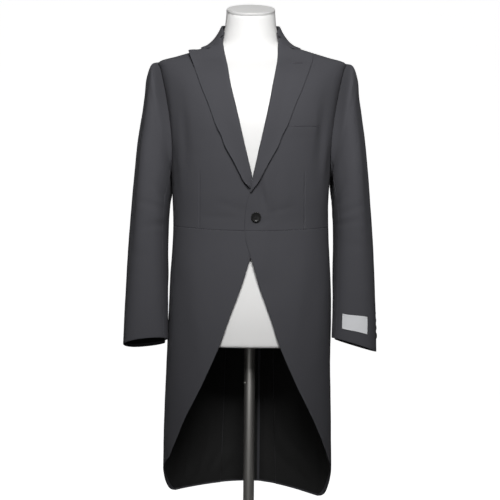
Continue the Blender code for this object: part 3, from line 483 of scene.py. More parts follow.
def ramp(value, start, end):
    """0 at the start and before, rising smoothly to 1 at the end and after."""
    share = np.clip((value - start) / (end - start), 0, 1)
    return share * share * (3 - 2 * share)


def settled(side, angle, z):
    """Height after the hem has sagged at the sides and the waist seam has dipped in front."""
    low = np.clip((WAIST_Z - z) / (WAIST_Z - HEM_Z), 0, 1)
    sag = HEM_SAG[side] * low ** 6 * ramp(180 - np.abs(angle), 0, 65)
    dip = WAIST_DIP * np.cos(2 * np.radians(angle)) - WAIST_RISE
    return z - sag - dip * falloff(z - WAIST_Z, WAIST_DIP_REACH)


def folds(side, angle, z):
    """How far the soft folds lift the cloth."""
    lift = 0 * angle * z
    for fold_side, fold_angle, fold_z, half_angle, half_height, depth in FOLDS:
        if fold_side == side:
            lift = lift + depth * falloff(angle - fold_angle, 2 * half_angle) * falloff(z - fold_z, 2 * half_height)
    return lift


def skin(rings, side, angle, z):
    """Points and outward normals of a surface, on one side of the coat."""
    angle, z = np.broadcast_arrays(np.array(angle, float), np.array(z, float))

    def at(angle_step, z_step):
        spot = rings.point(angle + angle_step, settled(side, angle + angle_step, z + z_step))
        spot[..., 0] *= side * (1 - SKIRT_NARROWING[side] * ramp(NARROW_FROM_Z - z - z_step, 0, NARROW_OVER))
        return spot

    round_step = at(0.5, 0) - at(-0.5, 0)
    up_step = at(0, 1) - at(0, -1)
    normals = np.cross(round_step, up_step) * side
    normals /= np.linalg.norm(normals, axis=-1, keepdims=True)
    return at(0, 0), normals


def front_lift(side, x, z):
    """How far the left front lies out, over the right one."""
    if side < 0:
        return 0 * x * z
    return FRONT_LIFT * ramp(60 - x, 0, 32) * ramp(z, 940, 990) * ramp(1240 - z, 0, 60)


def tail_lift(side, angle, x, z):
    """How far a tail lies out, over its skirt, and the left one over the right one."""
    lift = TAIL_LIFT * ramp(1092 - z, 0, 20)
    if side > 0:
        lift = lift * (1 + ramp(40 - x, 0, 12) * ramp(angle, 140, 150))
    return lift


def gap_angle(rings, side, angle, z, distance):
    """The turn that moves a point on a surface by a distance round the coat."""
    ahead, _ = skin(rings, side, np.array(angle) + 0.5, z)
    here, _ = skin(rings, side, angle, z)
    return 0.5 * distance / np.linalg.norm(ahead - here, axis=-1)


# The armhole and the seams as functions of height
def armhole(turn, grow=0.0):
    """Depth and height round the armhole: 0 is its lowest point, 180 its top, positive turns the front."""
    way = np.radians(turn)
    high = (1 - np.cos(way)) / 2
    middle = ARMHOLE_LOW_Y + (ARMHOLE_HIGH_Y - ARMHOLE_LOW_Y) * high
    reach = np.where(np.sin(way) > 0, ARMHOLE_FRONT, ARMHOLE_BACK) + grow
    y = middle - reach * np.sin(way) * (1 + ARMHOLE_EGG * np.cos(way))
    return y, ARMHOLE_MIDDLE - (ARMHOLE_HALF + grow) * np.cos(way)


def armhole_angle(turn):
    y, z = armhole(turn)
    return COAT.angle_at_y(y, z)


SIDE_SEAM_TOP_Z = float(armhole(SIDE_SEAM_TURN)[1])
BACK_SEAM_TOP_Z = float(armhole(-BACK_SEAM_TURN)[1])
FRONT_TURNS = np.linspace(SIDE_SEAM_TURN, 180, 60)
BACK_TURNS = -np.linspace(BACK_SEAM_TURN, 180, 60)
front_edge_x = {side: curve(rows) for side, rows in FRONT_EDGE.items()}
cutaway_x = {side: curve(rows) for side, rows in CUTAWAY.items()}
corner_angle = {side: curve(rows) for side, rows in HEM_CORNER.items()}
lapel_edge_x = {side: curve(rows + LAPEL_EDGE) for side, rows in LAPEL_TIP.items()}
back_seam_x = curve(BACK_SEAM + ((BACK_SEAM_TOP_Z, float(COAT.x_at_y(*armhole(-BACK_SEAM_TURN)))),))


def curl_share(side, z):
    """How far the lapel's roll has grown to its full size, up from its break."""
    grown_share = np.clip((lapel_edge_x[side](z) - front_edge_x[side](z)) / CURL_WIDTH, 0, 1)
    return grown_share * ramp(z, LAPEL_BOTTOM_Z[side] - 8, LAPEL_BOTTOM_Z[side] + 14)


def roll_x(side, z):
    """The roll line. Where the lapels meet, the right one stops at the left one's roll."""
    if side > 0:
        return front_edge_x[1](z)
    return np.maximum(front_edge_x[-1](z), LAPELS_APART - front_edge_x[1](z))


def side_seam(z):
    """Between the forepart and the side body."""
    top = armhole_angle(SIDE_SEAM_TURN)
    return SIDE_SEAM_ANGLE + (top - SIDE_SEAM_ANGLE) * np.clip((z - WAIST_Z) / (SIDE_SEAM_TOP_Z - WAIST_Z), 0, 1)


def back_seam(z):
    """Between the back and the side body, and the pleat edge of the tail below the waist."""
    return COAT.angle_at_x(back_seam_x(z), z, behind=True)


def forepart_side(z):
    in_armhole = np.interp(z, armhole(FRONT_TURNS)[1], armhole_angle(FRONT_TURNS))
    return np.where(z < SIDE_SEAM_TOP_Z, side_seam(z), np.where(z > SHOULDER_Z, SHOULDER_ANGLE, in_armhole))


def back_side(z):
    in_armhole = np.interp(z, armhole(BACK_TURNS)[1], armhole_angle(BACK_TURNS))
    return np.where(z < BACK_SEAM_TOP_Z, back_seam(z), np.where(z > SHOULDER_Z, SHOULDER_ANGLE, in_armhole))


def skirt_front(side, z):
    """The cutaway edge, and the round corner below it."""
    return np.where(z < CORNER_TOP_Z, corner_angle[side](z), COAT.angle_at_x(cutaway_x[side](z), z))


def side_name(side):
    return "left" if side > 0 else "right"


# Creases, ripples and walls
def crease_frames(rows, place, up_step):
    """Each crease as its middle, the way out, the way along and the way across, in millimetres."""
    frames = []
    for side, around, along, tilt, half_width, half_length, depth in rows:
        spot, out = place(side, around, along)
        further, _ = place(side, around, along + up_step)
        up = (further - spot) / np.linalg.norm(further - spot)
        aside = np.cross(up, out)
        way = math.radians(tilt)
        down_it = up * math.cos(way) + aside * math.sin(way)
        frames.append((spot, out, down_it, np.cross(down_it, out), half_width, half_length, depth))
    return frames


def crease_lift(frames, points):
    """How far the creases move each point out."""
    lift = np.zeros(points.shape[:-1])
    for spot, out, along, across, half_width, half_length, depth in frames:
        away = points - spot
        length = away @ along
        bowed = away @ across + 0.12 * half_width * (length / half_length) ** 2
        shape = falloff(bowed, 2 * half_width) * falloff(length, 1.3 * half_length)
        lift += depth * shape * falloff(away @ out, CREASE_REACH)
    return lift


def ripple_lift(points):
    """A slight unevenness all over, less where the cloth lies tight on the shoulders."""
    lift = np.zeros(points.shape[:-1])
    for depth, length in RIPPLE:
        values = [noise.noise(Vector(point / length)) for point in points.reshape(-1, 3)]
        lift += depth * np.reshape(values, lift.shape)
    return lift * (1 - 0.75 * ramp(points[..., 2], RIPPLE_TOP_Z - 60, RIPPLE_TOP_Z + 30))


def shares(count, length, crowding=1.0):
    """Values from 0 to 1, with close rows at both ends where the edge is rounded off."""
    near = EDGE_ROUND / length
    inner = 4.5 * near + (1 - 9 * near) * np.linspace(0, 1, count) ** crowding
    return np.concatenate([[0, near, 2.5 * near], inner, [1 - 2.5 * near, 1 - near, 1]])


def rounded(outer, inner, first_row, last_row, first_column, last_column):
    """Both skins drawn together at the four edges, by the distances given."""
    facing = outer - inner
    facing /= np.linalg.norm(facing, axis=-1, keepdims=True)
    drop = np.zeros(outer.shape[:2])
    for end, beside, amount in ((0, 1, first_row), (-1, -2, last_row)):
        drop[beside] = np.maximum(drop[beside], 0.25 * amount)
        drop[end] = np.maximum(drop[end], amount)
    for end, beside, amount in ((0, 1, first_column), (-1, -2, last_column)):
        drop[:, beside] = np.maximum(drop[:, beside], 0.25 * amount)
        drop[:, end] = np.maximum(drop[:, end], amount)
    drop = drop[..., None]
    return outer - facing * drop, inner + facing * drop * 0.6


def edge_run(outer, free):
    """Distance in from the nearest free edge, and the length along it, for each point, in metres."""
    rows, columns = outer.shape[:2]
    down = np.concatenate([np.zeros((1, columns)), np.cumsum(steps_of(outer, 0), axis=0)])
    across = np.concatenate([np.zeros((rows, 1)), np.cumsum(steps_of(outer, 1), axis=1)], axis=1)
    runs = {
        "first_row": (down, across), "last_row": (down[-1:] - down, across),
        "first_column": (across, down), "last_column": (across[:, -1:] - across, down),
    }
    nearest, along = np.full((rows, columns), 1000.0), down
    for edge in free:
        distance, length = runs[edge]
        along = np.where(distance < nearest, length, along)
        nearest = np.minimum(distance, nearest)
    return np.stack([nearest, along, 0 * along], axis=-1) * METRES


def wall_mesh(name, outer, inner, free=(), tube=False):
    """A closed wall between two grids of points, rows by columns, with a UV map in metres."""
    rows, columns = outer.shape[:2]
    count = rows * columns
    index = np.arange(count).reshape(rows, columns)
    if tube:
        index = np.concatenate([index, index[:, :1]], axis=1)
    low, high = index[:-1], index[1:]
    outside = np.stack([low[:, :-1], low[:, 1:], high[:, 1:], high[:, :-1]], axis=-1).reshape(-1, 4)
    lines = [index[0][::-1], index[-1]] + ([] if tube else [index[:, 0], index[:, -1][::-1]])
    rims = [np.stack([line[:-1], line[1:], line[1:] + count, line[:-1] + count], axis=-1) for line in lines]
    faces = np.concatenate([outside, outside[:, ::-1] + count] + rims)
    points = np.concatenate([outer.reshape(-1, 3), inner.reshape(-1, 3)]) * METRES
    a, b, c, d = (points[faces[:, corner]] for corner in range(4))
    volume = (np.cross(b, c) * a).sum() + (np.cross(c, d) * a).sum()
    if volume < 0:
        faces = faces[:, ::-1]
    mesh = bpy.data.meshes.new(name)
    mesh.from_pydata(points.tolist(), [], faces.tolist())
    around = np.concatenate([np.zeros((rows, 1)), np.cumsum(steps_of(outer, 1), axis=1)], axis=1)
    along = np.concatenate([np.zeros((1, columns)), np.cumsum(steps_of(outer, 0), axis=0)], axis=0)
    around = around - around[:, columns // 2:columns // 2 + 1]
    flat = np.stack([around, along], axis=-1).reshape(-1, 2) * METRES
    flat = np.concatenate([flat, flat])
    corners = np.zeros(len(mesh.loops), np.int32)
    mesh.loops.foreach_get("vertex_index", corners)
    mesh.uv_layers.new(name="cloth").data.foreach_set("uv", flat[corners].astype(np.float32).ravel())
    run = edge_run(outer, free).reshape(-1, 3)
    trim = mesh.attributes.new("edge_run", "FLOAT_VECTOR", "POINT")
    trim.data.foreach_set("vector", np.concatenate([run, run]).astype(np.float32).ravel())
    mesh.shade_smooth()
    mesh.set_sharp_from_angle(angle=math.radians(SHARP_ANGLE))
    piece = bpy.data.objects.new(name, mesh)
    bpy.context.scene.collection.objects.link(piece)
    return piece


def steps_of(grid, axis):
    return np.linalg.norm(np.diff(grid, axis=axis), axis=-1)


def cut_of(grid, tube=False):
    """Flat width, length and area of a grid of points, in metres."""
    if tube:
        grid = np.concatenate([grid, grid[:, :1]], axis=1)
    width = steps_of(grid, 1).sum(axis=1).max()
    length = steps_of(grid, 0).sum(axis=0).max()
    down, across = grid[1:] - grid[:-1], grid[:, 1:] - grid[:, :-1]
    area = np.linalg.norm(np.cross(down[:, :-1], across[:-1]), axis=-1).sum() / 2
    area += np.linalg.norm(np.cross(down[:, 1:], across[1:]), axis=-1).sum() / 2
    width, length = width * METRES, length * METRES
    return width, length, min(area * METRES ** 2, width * length)


def cloth_piece(node, paint, outer, inner, free=(), tube=False):
    """The wall as a sheet of cloth that stands for its CAD node."""
    piece = wall_mesh(f"{node}_cloth", outer, inner, free, tube)
    piece.data.materials.append(bpy.data.materials[paint])
    width, length, area = cut_of(outer, tube)
    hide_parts(node)
    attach(piece, "root")
    return piece


def unevenness(points, frames):
    """Creases and ripples together, scaled by the coat's crease setting."""
    strength = bpy.context.scene.morning_coat.crease_strength
    return strength * (crease_lift(frames, points) + ripple_lift(points))


def draped(side, angle, z, lift, outside, thick):
    """Outer and inner grids of cloth on the coat's surface, with its folds, creases and ripples."""
    points, normals = skin(COAT, side, angle, z)
    raised = lift + folds(side, angle, z) + unevenness(points, COAT_CREASES) + outside
    return points + normals * raised[..., None], points + normals * (raised - thick)[..., None]


def on_coat(side, angle, z):
    return skin(COAT, side, angle, z)


COAT_CREASES = crease_frames(BODY_CREASES, on_coat, 1.0)
SATIN_WRINKLES = crease_frames(SATIN_CREASES, on_coat, 1.0)


# Panels of the body
def armhole_rows(from_turn, count):
    return armhole(np.sign(from_turn) * np.linspace(abs(from_turn), 180, count))[1]


def shoulder_rows(count):
    """Heights up the shoulder, even along its slope."""
    return np.linspace(SHOULDER_Z, NECK_Z, count)[1:]


def front_rows():
    waist = WAIST_Z + (SIDE_SEAM_TOP_Z - WAIST_Z) * shares(30, SIDE_SEAM_TOP_Z - WAIST_Z)[:-3]
    return np.concatenate([waist[waist < SIDE_SEAM_TOP_Z - 0.5], armhole_rows(SIDE_SEAM_TURN, 84), shoulder_rows(26)])


def build_forepart(side):
    z = front_rows()
    edge = front_edge_x[side](z)
    edge = edge + (roll_x(side, z) - edge + FRONT_EDGE_IN) * curl_share(side, z)
    low = COAT.angle_at_x(edge, z)
    high = forepart_side(z)
    high = high - gap_angle(COAT, side, high, z, SEAM / 2)
    dart_x, dart_top, dart_low = DARTS[side]
    dart = (COAT.angle_at_x(dart_x, z) - low) / (high - low)
    dart = np.clip(dart, 0.45, 0.8)
    near = DART_HALF / 190
    part = shares(26, 120)
    before = part * (0.5 - 2 * near)
    after = 0.5 + 2 * near + part * (0.5 - 2 * near)
    even = np.concatenate([before, 0.5 + near * np.array([-1.4, -0.7, 0, 0.7, 1.4]), after])
    share = np.where(even < 0.5, even * 2 * dart[:, None], 1 - (1 - even) * 2 * (1 - dart[:, None]))
    angle = low[:, None] + (high - low)[:, None] * share
    rows = np.repeat(z[:, None], angle.shape[1], axis=1)
    x = COAT.point(angle, rows)[..., 0]
    lift = front_lift(side, x, rows)
    groove = falloff(x - dart_x, DART_HALF * 1.6) * ramp(dart_top - rows, 0, 18) * ramp(rows - dart_low, -6, 0)
    lift = lift - DART_DEPTH * groove
    outer, inner = draped(side, angle, rows, lift, 0, CLOTH)
    outer, inner = rounded(outer, inner, SEAM_DROP, SEAM_DROP, EDGE_DROP, SEAM_DROP)
    cloth_piece(f"forepart_{side_name(side)}", "charcoal_wool", outer, inner,
                ["first_column"])


def build_side_body(side):
    turns = np.linspace(SIDE_SEAM_TURN, -BACK_SEAM_TURN, 90)
    arc_z = armhole(turns)[1]
    arc_angle = armhole_angle(turns)
    share_on_arc = (arc_angle - side_seam(arc_z)) / (back_seam(arc_z) - side_seam(arc_z))
    share = shares(34, 150)
    top = np.interp(share, share_on_arc, arc_z)
    z = WAIST_Z + shares(44, 200)[:, None] * (top - WAIST_Z)
    low = side_seam(z) + gap_angle(COAT, side, side_seam(z), z, SEAM / 2)
    high = back_seam(z) - gap_angle(COAT, side, back_seam(z), z, SEAM / 2)
    angle = low + (high - low) * share
    outer, inner = draped(side, angle, z, 0, 0, CLOTH)
    outer, inner = rounded(outer, inner, SEAM_DROP, SEAM_DROP, SEAM_DROP, SEAM_DROP)
    cloth_piece(f"side_body_{side_name(side)}", "charcoal_wool", outer, inner)


def tail_centre(side, z):
    """The angle of a back's centre edge: below the vent the right one runs on under the left one."""
    behind = COAT.angle_at_x(VENT_UNDERLAP, z, behind=True)
    under = (360 - behind) - 180 if side < 0 else 0
    return BACK_CENTRE_ANGLE + under * (z < VENT_TOP_Z)


def back_rows():
    tail = HEM_Z + (VENT_TOP_Z - HEM_Z) * shares(110, VENT_TOP_Z - HEM_Z)[:-3]
    step = np.array([VENT_TOP_Z - 0.4, VENT_TOP_Z + 0.4, WAIST_Z])
    body = np.linspace(WAIST_Z, BACK_SEAM_TOP_Z, 44)[1:-1]
    return np.concatenate([tail, step, body, armhole_rows(-BACK_SEAM_TURN, 50), shoulder_rows(26)])


def build_back(side):
    z = back_rows()
    low = back_side(z)
    low = low + gap_angle(COAT, side, low, z, SEAM / 2)
    high = tail_centre(side, z)
    angle = low[:, None] + (high - low)[:, None] * shares(40, 110)
    rows = np.repeat(z[:, None], angle.shape[1], axis=1)
    x = COAT.point(angle, rows)[..., 0]
    outer, inner = draped(side, angle, rows, tail_lift(side, angle, x, rows), 0, CLOTH)
    outer, inner = rounded(outer, inner, EDGE_DROP, SEAM_DROP, SEAM_DROP, SEAM_DROP)
    cloth_piece(f"back_{side_name(side)}", "charcoal_wool", outer, inner,
                ["first_row"])


def skirt_rows(low=HEM_Z, high=WAIST_Z - 0.1, count=120):
    """Heights of a skirt, close together round its hem corner."""
    corner = low + (CORNER_TOP_Z - low) * shares(44, CORNER_TOP_Z - low, 1.6)[:-3]
    rest = np.linspace(CORNER_TOP_Z, high, count)
    return np.concatenate([corner, rest[1:-1], [high - 2, high - EDGE_ROUND, high]])


def pleat_edge(side, z):
    """The skirt's hind edge, under the tail."""
    high = back_seam(z) - gap_angle(COAT, side, back_seam(z), z, SEAM / 2)
    return high + gap_angle(COAT, side, high, z, PLEAT_UNDERLAP) * ramp(WAIST_Z - 4 - z, 0, 6)


def build_skirt(side):
    z = skirt_rows()
    low, high = skirt_front(side, z), pleat_edge(side, z)
    angle = low[:, None] + (high - low)[:, None] * shares(74, 260, 1.15)
    rows = np.repeat(z[:, None], angle.shape[1], axis=1)
    x = COAT.point(angle, rows)[..., 0]
    outer, inner = draped(side, angle, rows, front_lift(side, x, rows), 0, CLOTH)
    outer, inner = rounded(outer, inner, EDGE_DROP, SEAM_DROP, EDGE_DROP, SEAM_DROP)
    cloth_piece(f"skirt_{side_name(side)}", "charcoal_wool", outer, inner,
                ["first_row", "first_column"])


# Linings
def lining(node, side, angle, z, lift):
    """Satin close inside the cloth that it lines, puffed inwards by its own wrinkles."""
    outer, inner = draped(side, angle, z, lift, -CLOTH - LINING_GAP, LINING)
    puff = np.abs(crease_lift(SATIN_WRINKLES, outer)) * ramp(z, HEM_Z + 4, HEM_Z + 40)
    puff = puff * ramp(LINING_TOP_Z - z, 0, 60)
    inner = inner + (inner - outer) / LINING * puff[..., None]
    outer, inner = rounded(outer, inner, 0.2, 0.2, 0.2, 0.2)
    cloth_piece(node, "black_satin", outer, inner)


def build_skirt_lining(side):
    """Satin inside the skirt, turned in a little way from its edges, up to where the form hides it."""
    z = skirt_rows(HEM_Z + LINING_FROM_EDGE, LINING_TOP_Z, 70)
    low, high = skirt_front(side, z), pleat_edge(side, z)
    low = low + gap_angle(COAT, side, low, z, LINING_FROM_EDGE) * (1 + 2 * ramp(CORNER_TOP_Z - z, 0, 60))
    high = high - gap_angle(COAT, side, high, z, 1.0)
    angle = low[:, None] + (high - low)[:, None] * shares(90, 260)
    z = np.repeat(z[:, None], angle.shape[1], axis=1)
    lining(f"skirt_lining_{side_name(side)}", side, angle, z, 0)


def build_tail_lining(side):
    """Satin inside the tail, between its skirt's underlap and the vent."""
    z = HEM_Z + LINING_FROM_EDGE + (LINING_TOP_Z - HEM_Z - LINING_FROM_EDGE) * shares(90, 350)
    low = pleat_edge(side, z)
    low = low + gap_angle(COAT, side, low, z, 0.5)
    if side > 0:
        high = COAT.angle_at_x(VENT_UNDERLAP + 1.5, z, behind=True)
    else:
        high = tail_centre(side, z) - gap_angle(COAT, side, tail_centre(side, z), z, LINING_FROM_EDGE)
    angle = low[:, None] + (high - low)[:, None] * shares(34, 60)
    rows = np.repeat(z[:, None], angle.shape[1], axis=1)
    x = COAT.point(angle, rows)[..., 0]
    lining(f"tail_lining_{side_name(side)}", side, angle, rows, tail_lift(side, angle, x, rows))


# Lapels and collar
def leaning(grids):
    """The collar, the lapels' tops and the neck, sitting a little to the wearer's right."""
    shifted = []
    for grid in grids:
        lean = COLLAR_LEAN * ramp(grid[..., 2], *COLLAR_LEAN_FROM)
        shifted.append(grid - lean[..., None] * (1, 0, 0))
    return shifted


def turned_surface(side, x, z):
    """The surface that the turned lapel and collar leaf lie on."""
    points, normals = skin(TURNED, side, TURNED.angle_at_x(x, z), z)
    lift = front_lift(side, x, z) + unevenness(points, COAT_CREASES)
    return points + normals * lift[..., None], normals


def build_lapel(side):
    """The turned front from the roll line to the outer edge, with its roll curling back to the forepart."""
    even = shares(110, 350)[:, None]
    share = 0.35 * even + 0.65 * ramp(even, 0, 1)
    bottom = LAPEL_BOTTOM_Z[side]
    roll_z = bottom + (LAPEL_TOP_Z - bottom) * share
    edge_z = bottom + 1 + (GORGE[0][0] - bottom - 1) * share
    turn_x = roll_x(side, roll_z)
    edge_x = lapel_edge_x[side](edge_z)
    size = np.maximum(curl_share(side, roll_z - CURL_LAG), 0.25)
    first = np.clip(LAPEL_FLAT_FROM * size / np.maximum(edge_x - turn_x, 1), 0.1, 0.6)
    width = first + (1 - first) * shares(42, 90)[3:]
    gorge = np.array(GORGE, float)
    top_z = np.interp(1 - width[-1], gorge[:, 2], gorge[:, 0])
    top_x = np.interp(1 - width[-1], gorge[:, 2], gorge[:, 1])
    flat_x = turn_x + (edge_x - turn_x) * width
    flat_z = roll_z + (edge_z - roll_z) * width
    flat_x = flat_x + (top_x - flat_x[-1]) * share ** 4
    flat_z = flat_z + (top_z - flat_z[-1]) * share ** 4
    points, normals = turned_surface(side, flat_x, flat_z)
    off_roll = np.abs(flat_x - turn_x)
    bulge = LAPEL_BULGE * falloff(off_roll, 30) * np.minimum(1, (edge_x - turn_x) / 30)
    stand_off = LAPEL_STAND_OFF * width ** 2 * ramp(0.7 - share, 0, 0.55)
    stand_off = stand_off + PEAK_STAND_OFF[side] * ramp(width, 0.65, 1) * ramp(share, 0.86, 1)
    flat_outer = points + normals * (bulge + stand_off)[..., None]
    flat_inner = flat_outer - normals * CLOTH
    spot, facing = turned_surface(side, turn_x, roll_z)
    along = np.cross((0, 0, 1.0), facing) * side
    along /= np.linalg.norm(along, axis=-1, keepdims=True)
    level = CLOTH + LAPEL_GAP
    size = size[..., None]
    curl = smooth_rows(LAPEL_CURL, 4)
    curl_outer = [spot + along * row[0] * size + facing * (row[1] - level) * size for row in curl]
    curl_inner = [spot + along * row[2] * size + facing * ((row[3] - LAPEL_GAP) * size - CLOTH) for row in curl]
    outer = np.concatenate(curl_outer + [flat_outer], axis=1)
    inner = np.concatenate(curl_inner + [flat_inner], axis=1)
    outer, inner = leaning(rounded(outer, inner, SEAM_DROP, SEAM_DROP, 0, EDGE_DROP))
    cloth_piece(f"lapel_{side_name(side)}", "charcoal_wool", outer, inner,
                ["last_column"])


def build_collar():
    """Leaf, fold and stand in one wall from the right gorge round the back of the neck to the left one."""
    count = 70
    along = shares(count, 190)[:, None]
    leaf_share = np.linspace(0, 1, 6)
    gorge = np.array(GORGE, float)
    on_gorge = NOTCH_SHARE + (1 - NOTCH_SHARE) * leaf_share
    gorge_x = np.interp(on_gorge, gorge[:, 2], gorge[:, 1])
    gorge_z = np.interp(on_gorge, gorge[:, 2], gorge[:, 0]) + 1.2
    start = TURNED.angle_at_x(gorge_x, gorge_z) + 0.6
    angle = start + (180 - start) * along
    edge_z = np.interp(angle, *np.transpose(COLLAR_EDGE))
    crest_z = np.interp(angle, *np.transpose(COLLAR_CREST))
    z = edge_z + (crest_z - edge_z) * leaf_share
    z = z + (gorge_z - z[0]) * (1 - along) ** 4
    crest = z[:, -1:]
    stand_share = np.linspace(0, 1, 4)
    stand_angle = np.maximum(angle[:, -1:], COLLAR_LEAST_ANGLE) + 0 * stand_share
    stand_z = crest + (NECK_Z + 2 * SEAM_GAP - crest) * stand_share

    def half(side):
        leaf, leaf_out = skin(TURNED, side, angle, z)
        stand, stand_out = skin(COAT, side, stand_angle, stand_z)
        fold = (leaf[:, -1:] + stand[:, :1]) / 2
        top = np.array((0, 0, COLLAR_FOLD_HIGH))
        under = top - (0, 0, CLOTH + 0.2)
        outer = np.concatenate([leaf, fold + top, stand], axis=1)
        inner = np.concatenate([leaf - leaf_out * CLOTH, fold + under, stand + stand_out * CLOTH], axis=1)
        return outer, inner

    left_outer, left_inner = half(1)
    right_outer, right_inner = half(-1)
    grids = []
    for right, left in ((right_outer, left_outer), (right_inner, left_inner)):
        whole = np.concatenate([right, left[::-1][1:]])
        grids.append(np.swapaxes(smooth_rows(np.swapaxes(whole, 0, 1), 5), 0, 1))
    outer, inner = leaning(rounded(*grids, SEAM_DROP, SEAM_DROP, EDGE_DROP, 0))
    cloth_piece("collar", "charcoal_wool", outer, inner, ["first_column"])


# Sleeves
def sleeve_rings(side, turns, grow, gap):
    """Rings of points at the sleeve's sections for the turns given: 0 is the outer side and 90 the back."""
    way = np.radians(turns)
    y, z = armhole(turns - 180.0, grow)
    loop, facing = skin(COAT, 1, COAT.angle_at_y(y, z), z)
    rings = [loop + facing * gap]
    for index, row in enumerate(SLEEVE_SECTIONS):
        inner_x, inner_z, outer_x, outer_z, half_depth, middle_y, squareness = row
        across = signed_power(np.cos(way), 2 / squareness)
        x = (inner_x + outer_x) / 2 + (outer_x - inner_x) / 2 * across
        z = (inner_z + outer_z) / 2 + (outer_z - inner_z) / 2 * across
        y = middle_y + half_depth * signed_power(np.sin(way), 2 / squareness)
        if index == len(SLEEVE_SECTIONS) - 1:
            hem, outer_drop, back_drop = CUFF_HEM[side]
            z = hem - outer_drop * (1 + across) / 2 - back_drop * (1 + np.sin(way)) / 2
        clearance = SLEEVE_CLEARANCE + ARMPIT_OPEN[side] * falloff(z - ARMPIT_Z, ARMPIT_REACH)
        rings.append(np.stack([np.maximum(x, COAT.x_at_y(y, z) + clearance), y, z], axis=-1))
    return np.array(rings)


def sleeve_spot(side, turn, row):
    """Points on the sleeve's surface: a smooth curve through its rings, at each turn and section row."""
    rings = sleeve_rings(side, turn.ravel(), SLEEVE_GROW, SLEEVE_GAP)
    rings = np.concatenate([[2 * rings[0] - rings[1]], rings, [2 * rings[-1] - rings[-2]]])
    place = np.clip(row.ravel(), 0, len(rings) - 3)
    low = np.minimum(place.astype(int), len(rings) - 4)
    share = (place - low)[:, None]
    columns = np.arange(turn.size)
    before, start, end, after = (rings[low + step, columns] for step in range(4))
    bend = 2 * before - 5 * start + 4 * end - after
    twist = 3 * start - before - 3 * end + after
    spot = 0.5 * (2 * start + (end - before) * share + bend * share ** 2 + twist * share ** 3)
    return spot.reshape(turn.shape + (3,)) * (side, 1, 1)


def sleeve_skin(side, turn, row):
    """Points and outward normals of a sleeve at turns and section rows, as two equal grids."""
    turn, row = np.broadcast_arrays(np.array(turn, float), np.array(row, float))
    round_step = sleeve_spot(side, turn + 1.5, row) - sleeve_spot(side, turn - 1.5, row)
    down_step = sleeve_spot(side, turn, row + 0.05) - sleeve_spot(side, turn, row - 0.05)
    normals = np.cross(down_step, round_step) * side
    normals /= np.linalg.norm(normals, axis=-1, keepdims=True)
    return sleeve_spot(side, turn, row), normals


SLEEVE_CREASES_THERE = crease_frames(SLEEVE_CREASES, sleeve_skin, -0.02)


def sleeve_seam_gap(side, turn, row, distance):
    ahead, _ = sleeve_skin(side, turn + 1, row)
    here, _ = sleeve_skin(side, turn, row)
    return distance / np.linalg.norm(ahead - here, axis=-1)


def hind_seam(side, row):
    return np.interp(row, (0, 5, 11), SLEEVE_HIND_SEAM[side])


def sleeve_rows():
    head = np.array([0, 0.03, 0.08, 0.15, 0.24, 0.34, 0.45, 0.57, 0.7, 0.85])
    return np.concatenate([head, np.linspace(1, 10.97, 130), [10.985, 11]])


def sleeve_turns(side, rows, kind, count):
    hind = hind_seam(side, rows)
    gap = sleeve_seam_gap(side, hind, rows, SEAM / 2)
    front = np.full(len(rows), SLEEVE_FRONT_SEAM)
    front_gap = sleeve_seam_gap(side, front, rows, SEAM / 2)
    if kind == "top":
        low, high = front + front_gap, hind - gap
    else:
        low, high = hind + gap, front + 360 - front_gap
    return low[:, None] + (high - low)[:, None] * shares(count, 180)


def build_sleeve(side, kind):
    rows = sleeve_rows()
    turn = sleeve_turns(side, rows, kind, 74 if kind == "top" else 44)
    spots, normals = sleeve_skin(side, turn, rows[:, None] + 0 * turn)
    settled_in = ramp(rows, 0.2, 1.5)[:, None]
    outer = spots + normals * (unevenness(spots, SLEEVE_CREASES_THERE) * settled_in)[..., None]
    inner = outer - normals * CLOTH
    inner[0] = sleeve_rings(side, turn[0], SLEEVE_GROW - CLOTH, SLEEVE_GAP)[0] * (side, 1, 1)
    outer, inner = rounded(outer, inner, 0.3, EDGE_DROP, SEAM_DROP, SEAM_DROP)
    cloth_piece(f"{kind}_sleeve_{side_name(side)}", "charcoal_wool", outer, inner,
                ["last_row"])


def build_cuff_lining(side):
    """A satin tube inside the end of the sleeve."""
    rows = np.linspace(CUFF_LINING_ROWS[0], CUFF_LINING_ROWS[-1] + 0.05, 26)
    turn = np.linspace(SLEEVE_FRONT_SEAM, SLEEVE_FRONT_SEAM + 360, 97)[None, :-1] + 0 * rows[:, None]
    spots, normals = sleeve_skin(side, turn, rows[:, None] + 0 * turn)
    lift = unevenness(spots, SLEEVE_CREASES_THERE) - CLOTH - LINING_GAP
    outer = spots + normals * lift[..., None]
    cloth_piece(f"cuff_lining_{side_name(side)}", "black_satin", outer, outer - normals * LINING,
                tube=True)


# Welt, label and buttonhole
def build_welt():
    low, high = BREAST_WELT["low_z"], BREAST_WELT["high_z"]
    across = BREAST_WELT["low_x"] + (BREAST_WELT["high_x"] - BREAST_WELT["low_x"]) * shares(30, 73)
    z = low + (high - low) * shares(10, high - low)[:, None] + BREAST_WELT["rise"] * (across - across[0]) / 73
    angle = COAT.angle_at_x(across + 0 * z, z)
    rise = ramp(z, low, high) * ramp(across - across[0], 0, 9) * ramp(across[-1] - across, 0, 9)
    outer, inner = draped(1, angle, z, 0, 0.15 + BREAST_WELT["thick"] * rise, 0.15 + 0.6 * rise)
    cloth_piece("breast_welt", "charcoal_wool", outer, inner, ["last_row"])
    mouth = outer[-1] + (0, -WELT_CORD / 2, WELT_CORD)
    thread_tube("welt_cord", [mouth], WELT_CORD, "charcoal_thread")


